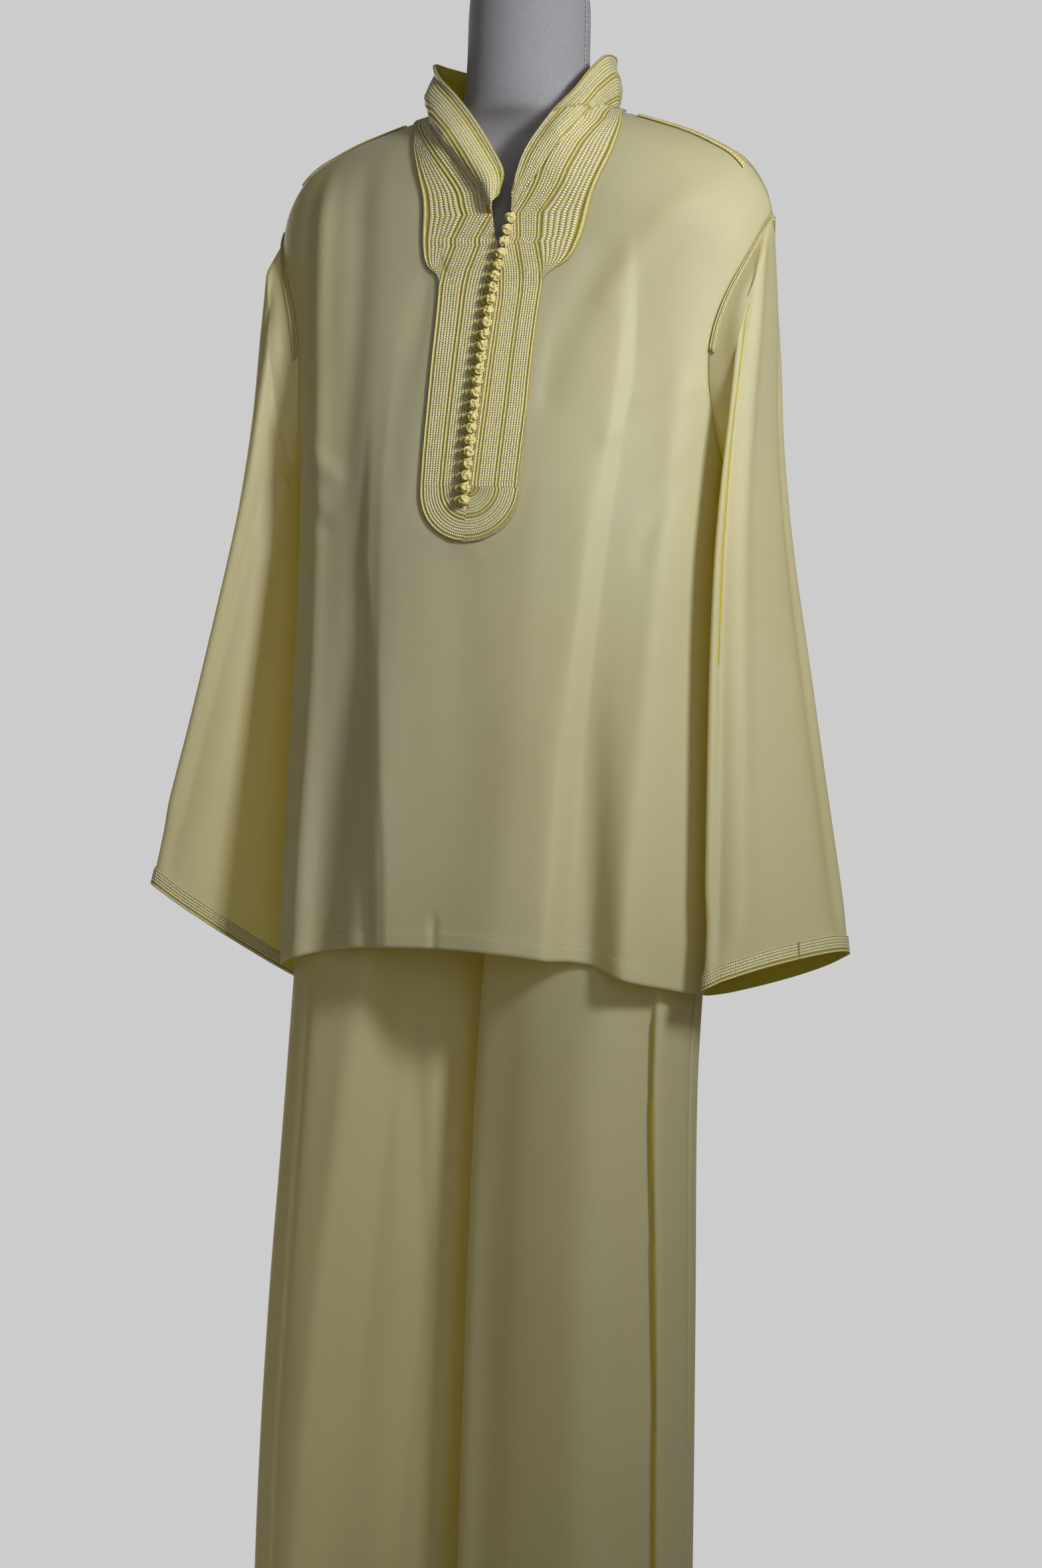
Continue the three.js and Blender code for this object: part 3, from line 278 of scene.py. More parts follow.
def slanted(x, z, start, end, spread, reach):
    """A crease from one point of the panel to another, soft all round."""
    ax, az = start
    bx, bz = end
    dx, dz = bx - ax, bz - az
    length = math.hypot(dx, dz)
    t = ((x - ax) * dx + (z - az) * dz) / (length * length)
    off = ((x - ax) * dz - (z - az) * dx) / length
    ends = smooth(t / 0.25 + 0.5) * smooth((1 - t) / 0.25 + 0.5)
    bow = 0.06 * length * np.sin(np.clip(t, 0, 1) * math.pi)
    return reach * ends * hump(off - bow, spread)


def creases(rows, x, z):
    total = 0
    for shape, *values in rows:
        total = total + shape(x, z, *values)
    return total


# Creases of the panels: shape, path or ends, spread, reach and how far they fade at their ends
FRONT_CREASES = [
    (lip, [(690, -48), (800, -53), (965, -70), (1142, -78)], 8, 30, 5.0, 150, 0.35),
    (lip, [(690, -72), (770, -76), (880, -84), (968, -92), (1061, -104)], 38, 8, -15.0, 150, 0.4),
    (along, [(690, -154), (801, -154), (967, -150), (1144, -155)], 11, 4.0, 160),
    (along, [(690, -182), (850, -180), (1000, -180)], 10, -4.0, 120),
    (lip, [(690, 103), (889, 110), (1058, 124), (1222, 138)], 7, 34, -17.0, 150, 0.4),
    (lip, [(690, 88), (900, 94), (1040, 108)], 26, 8, 2.6, 140),
    (along, [(690, 158), (812, 160), (975, 166), (1144, 178)], 13, 4.4, 120),
    (along, [(690, 186), (812, 188), (975, 190)], 9, -3.4, 120),
    (along, [(690, 18), (900, 12), (1010, 2)], 26, -2.2, 160),
    (along, [(690, 52), (900, 58), (1020, 66)], 20, 1.8, 160),
    (along, [(1200, -163), (1289, -167), (1386, -169)], 11, 4.5, 70),
    (along, [(1150, -124), (1250, -123), (1364, -128)], 15, -3.0, 90),
    (slanted, (-44, 1318), (-70, 1120), 15, -1.6),
    (slanted, (112, 1330), (64, 1190), 16, -2.2),
    (slanted, (206, 1330), (150, 1100), 24, -1.0),
    (slanted, (196, 1395), (110, 1280), 15, 2.6),
    (slanted, (196, 1215), (120, 1165), 9, 2.0),
    (slanted, (-196, 1200), (-130, 1130), 10, 2.2),
    (slanted, (-198, 1165), (-140, 1085), 9, -1.8),
    (slanted, (198, 1160), (150, 1060), 9, -1.6),
    (along, [(700, -7), (745, -9)], 4.0, -1.8, 18),
]
BACK_CREASES = [
    (along, [(690, -108), (900, -101), (1120, -90)], 12, 4.5, 150),
    (along, [(690, -62), (900, -60), (1140, -66)], 13, -5.0, 150),
    (along, [(690, 20), (880, 16), (1060, 8)], 16, 3.6, 150),
    (along, [(690, 86), (900, 80), (1150, 96)], 13, -5.0, 150),
    (along, [(690, 134), (900, 126), (1080, 120)], 12, 3.6, 140),
    (along, [(690, -158), (900, -156), (1100, -160)], 12, -3.2, 140),
    (along, [(690, 166), (900, 166), (1060, 170)], 11, -2.6, 140),
    (slanted, (-196, 1390), (-90, 1260), 18, 3.0),
    (slanted, (196, 1385), (96, 1270), 18, 3.0),
    (slanted, (-205, 1290), (-110, 1160), 15, -3.2),
    (slanted, (206, 1300), (120, 1170), 15, -3.0),
    (slanted, (-60, 1430), (60, 1425), 14, -1.8),
]


def front_detail(x, z):
    """The front's creases, all but flat under the plastron."""
    d = creases(FRONT_CREASES, x, z)
    d += 0.55 * uneven(x / 22, z / 50, 3) + 0.15 * uneven(x / 8, z / 20, 4)
    beyond = np.abs(x - curve(PLASTRON, 1, z)) - curve(PLASTRON, 2, z)
    free = np.maximum(smooth(beyond / 16), smooth((PLASTRON_BOTTOM_Z - z) / 20))
    return d * (0.06 + 0.94 * free)


def back_detail(x, z):
    return creases(BACK_CREASES, x, z) + (0.9 * uneven(x / 18, z / 42, 7) + 0.35 * uneven(x / 6, z / 14, 8))


def tunic_point(x, z, side, detail=True):
    half = curve(TUNIC, HALF, z)
    seam = curve(TUNIC, SEAM, z)
    reach = curve(TUNIC, FRONT if side < 0 else BACK, z)
    factor = depth_factor(x / half, SECTION_POWER)
    folds = large_folds(FRONT_FOLDS if side < 0 else BACK_FOLDS, x, z) * smooth(factor * 1.6)
    depth = np.abs(reach - seam) * factor * round_over(x, z) + folds
    if detail:
        fine = (front_detail if side < 0 else back_detail)(x, z)
        fine = fine + 0.7 * smooth((hem_height(x, side) + 15.5 - z) / 1.6)
        near_top = smooth((shoulder_height(x) - z) / 70)
        depth = depth + fine * smooth(factor * 1.4) * near_top
    y = seam + side * (depth + SEAM_HALF_GAP)
    return np.stack(np.broadcast_arrays(x, y, z), -1).astype(float)


def armhole_gap(z):
    t = np.clip((z - UNDERARM_Z) / (ARMHOLE_TOP_Z - UNDERARM_Z), 0, 1)
    bow = ARMHOLE_HALF_GAP * np.maximum(np.sin(math.pi * t ** 0.85), 0) ** 0.7
    return np.where((t > 0) & (t < 1), bow, 0)


def edge_table(side):
    z = np.linspace(650, 1480, 831)
    half = curve(TUNIC, HALF, z)
    seam = curve(TUNIC, SEAM, z)
    reach = np.abs(curve(TUNIC, FRONT if side < 0 else BACK, z) - seam)
    gap = armhole_gap(z)
    low, high = np.zeros_like(z), half.copy()
    for _ in range(SOLVE_STEPS):
        x = (low + high) / 2
        inside = reach * depth_factor(x / half, SECTION_POWER) * round_over(x, z) > gap
        low = np.where(inside, x, low)
        high = np.where(inside, high, x)
    return z, np.where(gap > 0, np.maximum(low, half * 0.9), half)


EDGES = {-1: edge_table(-1), 1: edge_table(1)}


def edge_x(z, side):
    return np.interp(z, *EDGES[side])


def neck_shift(z):
    return straight(NECK_SHIFT, 1, z)


def panel_top(x, side):
    neck = FRONT_NECK if side < 0 else BACK_NECK
    wide = neck[-1, 0]
    if side > 0:
        low = np.minimum(straight(neck, 1, np.abs(x)), shoulder_height(x))
        return np.where(np.abs(x) >= wide, shoulder_height(x), low)
    z = np.full_like(x, 1430.0)
    for _ in range(SOLVE_STEPS):
        off = np.abs(x - neck_shift(z))
        z = (z + np.where(off >= wide, shoulder_height(x), straight(neck, 1, off))) / 2
    return np.minimum(z, shoulder_height(x))


def hem_height(x, side):
    s = np.clip(np.abs(x) / HEM_HALF, 0, 1)
    return SIDE_HEM_Z + (FRONT_HEM_RISE if side < 0 else BACK_HEM_RISE) * (1 - s ** HEM_CURVE_POWER)


# Mesh helpers
def normals_of(grid, closed, away):
    up = np.gradient(grid, axis=0)
    if closed:
        across = np.roll(grid, -1, axis=1) - np.roll(grid, 1, axis=1)
    else:
        across = np.gradient(grid, axis=1)
    n = unit(np.cross(up, across))
    sign = np.sign(np.sum(n * away, axis=2, keepdims=True))
    sign[sign == 0] = 1
    return n * sign


def grid_faces(rows, cols, closed, offset=0, flip=False):
    r = np.arange(rows - 1)[:, None]
    c = np.arange(cols if closed else cols - 1)[None, :]
    a = r * cols + c
    b = r * cols + (c + 1) % cols
    quads = np.stack([a, b, b + cols, a + cols], -1).reshape(-1, 4) + offset
    return quads[:, ::-1] if flip else quads


def rim_faces(rows, cols, closed, half):
    c = np.arange(cols if closed else cols - 1)
    n = (c + 1) % cols
    top = (rows - 1) * cols
    quads = [(c, c + half, n + half, n), (top + n, top + n + half, top + c + half, top + c)]
    if not closed:
        r = np.arange(rows - 1) * cols
        e = r + cols - 1
        quads += [(r + cols, r + cols + half, r + half, r), (e, e + half, e + half + cols, e + cols)]
    return np.concatenate([np.stack(quad, -1) for quad in quads])


def object_from(name, points, faces, material):
    mesh = bpy.data.meshes.new(name)
    pts = np.asarray(points, float) * MM
    pts = pts + np.array([SHIFT_X, SHIFT_Y, 0.0])
    mesh.from_pydata(pts.tolist(), [], list(map(list, faces)))
    mesh.validate()
    obj = bpy.data.objects.new(f"{name}_made", mesh)
    bpy.context.scene.collection.objects.link(obj)
    mesh.materials.append(material)
    mesh.shade_smooth()
    return obj


def outward_faces(points, faces):
    a, b, c, d = (points[faces[:, corner]] for corner in range(4))
    volume = np.sum(a * np.cross(b, c)) + np.sum(a * np.cross(c, d))
    return faces if volume > 0 else faces[:, ::-1]


def shell(name, outer, inner, closed, material):
    rows, cols = outer.shape[:2]
    half = rows * cols
    points = np.concatenate([outer.reshape(-1, 3), inner.reshape(-1, 3)])
    faces = np.concatenate([
        grid_faces(rows, cols, closed),
        grid_faces(rows, cols, closed, half, True),
        rim_faces(rows, cols, closed, half),
    ])
    return object_from(name, points, outward_faces(points, faces), material)


# Braid: groups of six stitched columns between cords, in millimetres from the free edge
BRAID_PERIOD = 20.0
BRAID_FIRST = 6.5
BRAID_CORD = 2.0
BRAID_START = 3.2
BRAID_END = 18.8
BRAID_COLUMN = 2.6
STITCH = 2.1
STITCH_LEAN = 0.7
BRAID_RISE = 0.8
STRAIGHT_GROUPS = 49
CORD_TURN = 1.8


# Materials
def node_material(name):
    material = bpy.data.materials.new(name)
    material.use_nodes = True
    tree = material.node_tree
    return material, tree, tree.nodes["Principled BSDF"]


def add_node(tree, kind, **values):
    node = tree.nodes.new(kind)
    for key, value in values.items():
        if hasattr(node, key):
            setattr(node, key, value)
        else:
            node.inputs[key].default_value = value
    return node


def ramp(tree, source, stops):
    node = tree.nodes.new("ShaderNodeValToRGB")
    elements = node.color_ramp.elements
    while len(elements) < len(stops):
        elements.new(0.5)
    for element, (position, colour) in zip(elements, stops):
        element.position = position
        element.color = (*colour, 1)
    tree.links.new(source, node.inputs[0])
    return node.outputs["Color"]


def maths(tree, operation, *values):
    node = tree.nodes.new("ShaderNodeMath")
    node.operation = operation
    for socket, value in zip(node.inputs, values):
        if isinstance(value, (int, float)):
            socket.default_value = value
        else:
            tree.links.new(value, socket)
    return node.outputs["Value"]


def coordinates(tree, **mapping):
    """The object's own coordinates, scaled or turned where asked."""
    coords = add_node(tree, "ShaderNodeTexCoord").outputs["Object"]
    if not mapping:
        return coords
    node = add_node(tree, "ShaderNodeMapping")
    for key, value in mapping.items():
        node.inputs[key].default_value = value
    tree.links.new(coords, node.inputs["Vector"])
    return node.outputs["Vector"]


def noise(tree, scale, detail, **mapping):
    node = add_node(tree, "ShaderNodeTexNoise", Scale=scale, Detail=detail)
    tree.links.new(coordinates(tree, **mapping), node.inputs["Vector"])
    return node.outputs["Fac"]


def map_range(tree, source, low, high):
    node = add_node(tree, "ShaderNodeMapRange")
    node.inputs["To Min"].default_value = low
    node.inputs["To Max"].default_value = high
    tree.links.new(source, node.inputs["Value"])
    return node.outputs["Result"]


def dress(tree, shader, colour, height, strength, distance, **values):
    """Links the colour and the bump, then sets or links the other inputs by name."""
    bump = add_node(tree, "ShaderNodeBump", Strength=strength, Distance=distance)
    tree.links.new(height, bump.inputs["Height"])
    tree.links.new(bump.outputs["Normal"], shader.inputs["Normal"])
    tree.links.new(colour, shader.inputs["Base Color"])
    for key, value in values.items():
        socket = shader.inputs[key.replace("_", " ")]
        if isinstance(value, (int, float, tuple)):
            socket.default_value = value
        else:
            tree.links.new(value, socket)


def blend_shaders(tree, share, first, second, output):
    """Mix two shaders into the output by a share, which is a number or a socket."""
    blend = add_node(tree, "ShaderNodeMixShader")
    if isinstance(share, float):
        blend.inputs[0].default_value = share
    else:
        tree.links.new(share, blend.inputs[0])
    tree.links.new(first.outputs[0], blend.inputs[1])
    tree.links.new(second.outputs[0], blend.inputs[2])
    tree.links.new(blend.outputs[0], tree.nodes[output].inputs["Surface"])


def crepe_material(name, pale, deep, translucent):
    """Crepe with a fine upright grain, which lets a share of the light through."""
    material, tree, shader = node_material(name)
    links = tree.links
    fine = noise(tree, 2600.0, 2.0)
    grain = noise(tree, 1.0, 3.0, Scale=(1900.0, 1900.0, 520.0))
    tone = ramp(tree, noise(tree, 7.0, 3.0), [(0.3, deep), (0.7, pale)])
    grain_tone = ramp(tree, grain, [(0.3, (0.82, 0.82, 0.78)), (0.65, (1.0, 1.0, 1.0))])
    mix = add_node(tree, "ShaderNodeMix", data_type="RGBA", blend_type="MULTIPLY")
    mix.inputs["Factor"].default_value = 0.25
    links.new(tone, mix.inputs["A"])
    links.new(grain_tone, mix.inputs["B"])
    dress(
        tree, shader, mix.outputs["Result"], maths(tree, "ADD", fine, grain), 0.25, 0.0004,
        Roughness=map_range(tree, grain, 0.5, 0.66), Specular_IOR_Level=0.7,
        Sheen_Weight=0.4, Sheen_Roughness=0.45, Sheen_Tint=(1.0, 0.97, 0.82, 1),
    )
    glow = add_node(tree, "ShaderNodeBsdfTranslucent", Color=(0.96, 0.89, 0.10, 1))
    blend_shaders(tree, translucent, shader, glow, "Material Output")
    return material


def braid_material(name):
    """Silky braid: columns of leaning stitches between cords, from the two lengths on the mesh, with painted
    shade in the grooves and a painted highlight on the crowns.
    """
    material, tree, shader = node_material(name)

    def sums(operation, *values):
        return maths(tree, operation, *values)

    def dome(off):
        return sums("MAXIMUM", sums("SUBTRACT", 1.0, sums("MULTIPLY", off, off)), 0.0)

    across = add_node(tree, "ShaderNodeAttribute", attribute_name="across").outputs["Fac"]
    along_edge = add_node(tree, "ShaderNodeAttribute", attribute_name="along_edge").outputs["Fac"]
    speck = noise(tree, 700.0, 3.0)
    t = sums("FLOORED_MODULO", sums("SUBTRACT", across, BRAID_FIRST), BRAID_PERIOD)
    cord = dome(sums("DIVIDE", sums("SUBTRACT", t, BRAID_CORD / 2), BRAID_CORD / 2))
    place = sums("DIVIDE", sums("SUBTRACT", t, BRAID_START), BRAID_COLUMN)
    off = sums("MULTIPLY", sums("SUBTRACT", sums("FRACT", place), 0.5), 2.0)
    inside = sums("MULTIPLY", sums("GREATER_THAN", t, BRAID_START), sums("LESS_THAN", t, BRAID_END))
    crown = sums("MULTIPLY", dome(off), inside)
    odd = sums("FLOORED_MODULO", sums("FLOOR", place), 2.0)
    lean = sums("MULTIPLY", sums("SUBTRACT", odd, 0.5), STITCH_LEAN)
    phase = sums("ADD", sums("DIVIDE", along_edge, STITCH), sums("MULTIPLY", lean, off))
    wave = sums("COSINE", sums("MULTIPLY", phase, 2 * math.pi))
    stitch = sums("MULTIPLY_ADD", wave, 0.5, 0.5)
    fibre = sums("MULTIPLY", crown, sums("MULTIPLY_ADD", stitch, 0.85, 0.22))
    turn = sums("COSINE", sums("MULTIPLY", along_edge, 2 * math.pi / CORD_TURN))
    twist = sums("MULTIPLY", cord, sums("MULTIPLY_ADD", turn, 0.18, 0.5))
    tone = sums("MAXIMUM", fibre, twist)
    # The colour follows the relief height with a random speck: painted shade, darker in the grooves between
    # columns and cords, and a near-white painted highlight on their crowns.
    painted_shade_and_highlight = sums("MULTIPLY_ADD", sums("SUBTRACT", speck, 0.5), 0.4, tone)
    colour = ramp(tree, painted_shade_and_highlight, [
        (0.0, (0.33, 0.26, 0.03)), (0.22, (0.52, 0.44, 0.10)),
        (0.5, (0.76, 0.70, 0.36)), (0.8, (0.98, 0.96, 0.80)),
    ])
    dress(
        tree, shader, colour, sums("MULTIPLY_ADD", speck, 0.2, tone), 0.9, 0.0008,
        Roughness=sums("MULTIPLY_ADD", tone, -0.3, 0.6), Specular_IOR_Level=0.6, Sheen_Weight=0.15,
    )
    return material


def cord_material(name, pale, deep):
    material, tree, shader = node_material(name)
    strand = noise(tree, 1500.0, 2.0)
    dress(
        tree, shader, ramp(tree, strand, [(0.3, deep), (0.68, pale)]), strand, 0.35, 0.0003,
        Roughness=0.42, Specular_IOR_Level=0.55, Sheen_Weight=0.1,
    )
    return material


def twill_material(name, light, dark):
    """Twill weave of the dress form's cover, with specks of slub."""
    material, tree, shader = node_material(name)
    ribs = add_node(tree, "ShaderNodeTexWave", Scale=900.0, Distortion=1.4, Detail=2.0)
    ribs.inputs["Detail Scale"].default_value = 1.5
    tree.links.new(coordinates(tree, Rotation=(0.35, 0.75, 0.4)), ribs.inputs["Vector"])
    weave = maths(tree, "MULTIPLY_ADD", ribs.outputs["Fac"], 0.35, noise(tree, 420.0, 4.0))
    dress(
        tree, shader, ramp(tree, weave, [(0.35, dark), (0.85, light)]), weave, 0.35, 0.0004,
        Roughness=0.88, Specular_IOR_Level=0.2, Sheen_Weight=0.2,
    )
    return material


def metal_material(name, light, dark, metallic, roughness):
    material, tree, shader = node_material(name)
    streak = noise(tree, 1.0, 4.0, Scale=(700.0, 700.0, 12.0))
    dress(
        tree, shader, ramp(tree, streak, [(0.3, dark), (0.7, light)]), streak, 0.12, 0.0002,
        Metallic=metallic, Roughness=map_range(tree, streak, roughness, roughness + 0.15),
    )
    return material


CREPE = crepe_material("crepe", (0.74, 0.725, 0.52), (0.70, 0.685, 0.47), 0.44)
# The inner faces take a deeper golden copy of the crepe: painted shade for the golden light that passes
# through and between the cloth layers.
INSIDE_GOLDEN_SHADE = crepe_material("crepe_inside_golden_shade", (0.86, 0.75, 0.22), (0.81, 0.69, 0.17), 0.75)
BRAID = braid_material("braid")
CORD = cord_material("cord", (0.82, 0.73, 0.34), (0.55, 0.45, 0.12))
# The loops take a darker, deeper golden copy of the button cord: painted shade for the shadowed band beside
# the knots.
SHADED_LOOP_CORD = cord_material("loop_cord", (0.66, 0.56, 0.14), (0.42, 0.33, 0.05))
THREAD = cord_material("thread", (0.62, 0.58, 0.30), (0.50, 0.45, 0.2))
LINEN = twill_material("form_linen", (0.35, 0.338, 0.366), (0.29, 0.281, 0.306))
OVERLOCK = cord_material("overlock", (0.62, 0.59, 0.60), (0.38, 0.35, 0.36))
STEEL = metal_material("pole_steel", (0.62, 0.63, 0.65), (0.42, 0.43, 0.46), 1.0, 0.28)
PAINT = metal_material("base_paint", (0.06, 0.06, 0.065), (0.035, 0.035, 0.04), 0.0, 0.4)


def keep(obj, node_names):
    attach(obj, "root")
    if node_names:
        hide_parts(*node_names)


def plain_inside(obj, half):
    """The inner face of a shell takes a plain copy of the cloth, which lets more light through; its deeper
    golden colour is painted shade, standing in for the golden light that passes through the cloth.
    """
    obj.data.materials.append(INSIDE_GOLDEN_SHADE)
    for polygon in obj.data.polygons:
        if min(polygon.vertices) >= half:
            polygon.material_index = 1


# Dress form
def form_cover():
    heights = np.concatenate([
        np.linspace(862, 880, 6), np.linspace(890, 1380, 60), np.linspace(1386, 1470, 40),
        np.linspace(1474, 1570, 30), [1572.5, 1574.5, 1576],
    ])
    angles = np.linspace(0, 2 * math.pi, 128, endpoint=False)
    z = heights[:, None]
    power = 2 / curve(FORM, 4, z)
    cos, sin = np.cos(angles)[None], np.sin(angles)[None]
    x = curve(FORM, 1, z) * signed_power(cos, power)
    reach = np.where(sin < 0, -curve(FORM, 2, z), curve(FORM, 3, z))
    y = reach * signed_power(sin, power)
    grid = np.stack(np.broadcast_arrays(x, y, z), -1)
    caps = []
    for share in (0.9, 0.6, 0.3):
        ring = grid[-1] * [share, share, 1]
        ring[:, 2] += 2.2 * (1 - share ** 2)
        caps.append(ring[None])
    grid = np.concatenate([grid, *caps])
    rows, cols = grid.shape[:2]
    points = np.concatenate([grid.reshape(-1, 3), grid[:1].mean(1), [[0, -2, 1578.2]]])
    faces = grid_faces(rows, cols, True).tolist()
    top = (rows - 1) * cols
    for c in range(cols):
        n = (c + 1) % cols
        faces.append([rows * cols, n, c])
        faces.append([rows * cols + 1, top + c, top + n])
    obj = object_from("form_cover", points, faces, LINEN)
    keep(obj, ["form_body"])


form_cover()


def tube(paths, radius, sides=8):
    """Points and faces of closed-end tubes along paths."""
    points, faces = [], []
    for path in paths:
        path = np.asarray(path, float)
        tangent = unit(np.gradient(path, axis=0))
        side = unit(np.cross(tangent, [0.2, 1.0, 0.1]))
        up = np.cross(side, tangent)
        angle = np.linspace(0, 2 * math.pi, sides, endpoint=False)
        ring = side[:, None] * np.cos(angle)[None, :, None] + up[:, None] * np.sin(angle)[None, :, None]
        grid = path[:, None] + radius * ring
        start = sum(len(p) for p in points)
        points.append(grid.reshape(-1, 3))
        faces += grid_faces(len(path), sides, True, start).tolist()
        faces.append(list(range(start, start + sides))[::-1])
        last = start + (len(path) - 1) * sides
        faces.append(list(range(last, last + sides)))
    return np.concatenate(points), faces


def neck_seams():
    """Overlocked seams down the two sides of the form's neck and a line of stitches round its top."""
    paths = []
    for sign in (-1, 1):
        z = np.linspace(1462, 1574, 180)
        wave = 2 * math.pi * z / 4.2
        for shift in (0.0, math.pi):
            x = sign * (curve(FORM, 1, z) + 0.5 + 0.3 * np.cos(2 * wave + shift))
            paths.append(np.stack([x, -2 + 3.0 * np.sin(wave + shift), z], -1))
    turn = np.linspace(0, 2 * math.pi, 90, endpoint=False)
    for start in turn:
        a = start + np.linspace(0, 0.045, 4)
        z = np.full(4, 1568.0)
        reach = np.where(np.sin(a) < 0, curve(FORM, 2, z) * -1, curve(FORM, 3, z))
        paths.append(np.stack([(curve(FORM, 1, z) + 0.2) * np.cos(a), (reach + 0.2) * np.sin(a), z], -1))
    points, faces = tube(paths, 0.6, 5)
    keep(object_from("neck_seams", points, faces, OVERLOCK), [])


neck_seams()


def beside_seam(grid, side):
    limit = curve(TUNIC, SEAM, grid[..., 2]) + side * SEAM_HALF_GAP
    out = grid.copy()
    out[..., 1] = np.minimum(grid[..., 1], limit) if side < 0 else np.maximum(grid[..., 1], limit)
    return out


# Tunic panels
def panel_grid(side, cols, rows):
    top_x = np.linspace(-SHOULDER_HALF_WIDTH, SHOULDER_HALF_WIDTH, cols)
    if side < 0:
        top_x = np.sort(np.concatenate([top_x, [3.0, 8.0, 12.0, 16.0, 21.0]]))
    fraction = top_x / SHOULDER_HALF_WIDTH
    bottom = hem_height(fraction * HEM_HALF, side)
    top = panel_top(top_x, side)
    v = np.linspace(0, 1, rows)[:, None]
    z = bottom + (top - bottom) * v
    return tunic_point(fraction * edge_x(z, side), z, side)


def slit_x(z):
    return SLIT_BOTTOM_X + (SLIT_TOP_X - SLIT_BOTTOM_X) * (z - SLIT_BOTTOM_Z) / (NECK_Z - SLIT_BOTTOM_Z)


def tunic_panel(side, name, cols, rows):
    grid = panel_grid(side, cols, rows)
    level = np.ones(grid.shape[:2])
    away = np.stack([grid[..., 0] * 0.4, side * 100.0 * level, 40.0 * level], -1)
    inner = beside_seam(grid - normals_of(grid, False, away) * SHELL, side)
    obj = shell(name, grid, inner, False, CREPE)
    plain_inside(obj, level.size)
    keep(obj, [name])


def hem_stitches():
    """Short straight stitches that hold the turned hems, 15 mm above the edge."""
    rng = np.random.RandomState(12)
    paths = []
    for side in (-1, 1):
        for x in np.arange(-196, 197, 3.6):
            along_hem = x + np.linspace(0, 2.3, 4) + rng.uniform(-0.15, 0.15)
            z = hem_height(along_hem, side) + 15.4
            paths.append(tunic_point(along_hem, z, side) + [0, side * 0.1, 0])
    points, faces = tube(paths, 0.32, 5)
    keep(object_from("hem_stitches", points, faces, THREAD), [])


hem_stitches()
tunic_panel(-1, "tunic_front", 193, 232)
tunic_panel(1, "tunic_back", 150, 170)


def shoulder_face(x, ahead, lift):
    """A point lifted off the top of the shoulder, at a distance in front of the seam."""
    def at(px, pw):
        top = shoulder_height(px)
        z = top
        for _ in range(6):
            depth = np.abs(curve(TUNIC, FRONT, z) - curve(TUNIC, SEAM, z))
            depth = depth * depth_factor(px / curve(TUNIC, HALF, z), SECTION_POWER)
            share = np.clip(pw / np.maximum(depth, 1), 0, 1)
            z = top - SHOULDER_ROUND * (1 - np.sqrt(1 - share ** 2))
        y = curve(TUNIC, SEAM, z) - pw - SEAM_HALF_GAP
        return np.stack(np.broadcast_arrays(px, y, z), -1).astype(float)
    p = at(x, ahead)
    across = at(x + 1.0, ahead) - at(x - 1.0, ahead)
    out = at(x, ahead + 0.8) - at(x, np.maximum(ahead - 0.8, 0))
    n = unit(np.cross(across, out))
    n = np.where(n[..., 2:3] < 0, -n, n)
    return p + n * np.asarray(lift, float)[..., None]


def front_face(x, z, lift):
    """A point lifted off the front along its normal."""
    x = np.asarray(x, float)
    z = np.asarray(z, float)
    step = 1.5
    p = tunic_point(x, z, -1)
    a = tunic_point(x + step, z, -1) - tunic_point(x - step, z, -1)
    b = p - tunic_point(x, z - step, -1)
    n = unit(np.cross(a, b))
    n = np.where(n[..., 1:2] > 0, -n, n)
    return p + n * np.asarray(lift, float)[..., None]


def braid_relief(across):
    """Rounded columns and cords, up to a height of one."""
    t = np.mod(across - BRAID_FIRST, BRAID_PERIOD)
    cord = np.clip(1 - ((t - BRAID_CORD / 2) / (BRAID_CORD / 2 + 0.4)) ** 2, 0, 1) ** 0.5
    place = (t - BRAID_START) / BRAID_COLUMN
    off = 2 * (place - np.floor(place) - 0.5)
    crown = np.clip(1 - off * off, 0, 1) ** 0.5 * ((t > BRAID_START) & (t < BRAID_END))
    return np.maximum(cord, 0.85 * crown)


def braided(name, outer, inner, across, along_edge, closed=False):
    """A braided shell with the two lengths that its material reads."""
    obj = shell(name, outer, inner, closed, BRAID)
    for key, values in (("across", across), ("along_edge", along_edge)):
        layer = obj.data.attributes.new(key, "FLOAT", "POINT")
        layer.data.foreach_set("value", np.tile(values.reshape(-1), 2).astype(np.float32))
    return obj


def lengths(points):
    """Length along a line of points, from its first."""
    return np.concatenate([[0], np.cumsum(np.linalg.norm(np.diff(points, axis=0), axis=1))])


# Collar
def stations():
    rows = []

    def place(hand, base, left_x, right_x, y, z, front):
        neck = FRONT_NECK if front else BACK_NECK
        height = float(straight(neck, 1, base))
        shift = float(neck_shift(height)) if front else 0.0
        x = shift + hand * base - hand * COLLAR_GAP * float(smooth(base / 30))
        lift = COLLAR_GAP + COLLAR_SIDE_LIFT * float(smooth((base - 60) / 16))
        full = 1.0 if hand < 0 else LEFT_BULGE_SHARE * float(smooth((base - 20) / 40))
        rows.append((x, height, lift, -1 if front else 1, left_x if hand < 0 else right_x, y, z, hand, full))

    for row in COLLAR:
        place(-1, *row, True)
    for row in COLLAR_BACK:
        place(-1, *row, False)
    for row in reversed(COLLAR_BACK[:-1]):
        place(1, *row, False)
    for row in reversed(COLLAR):
        place(1, *row, True)
    return np.array(rows, float)


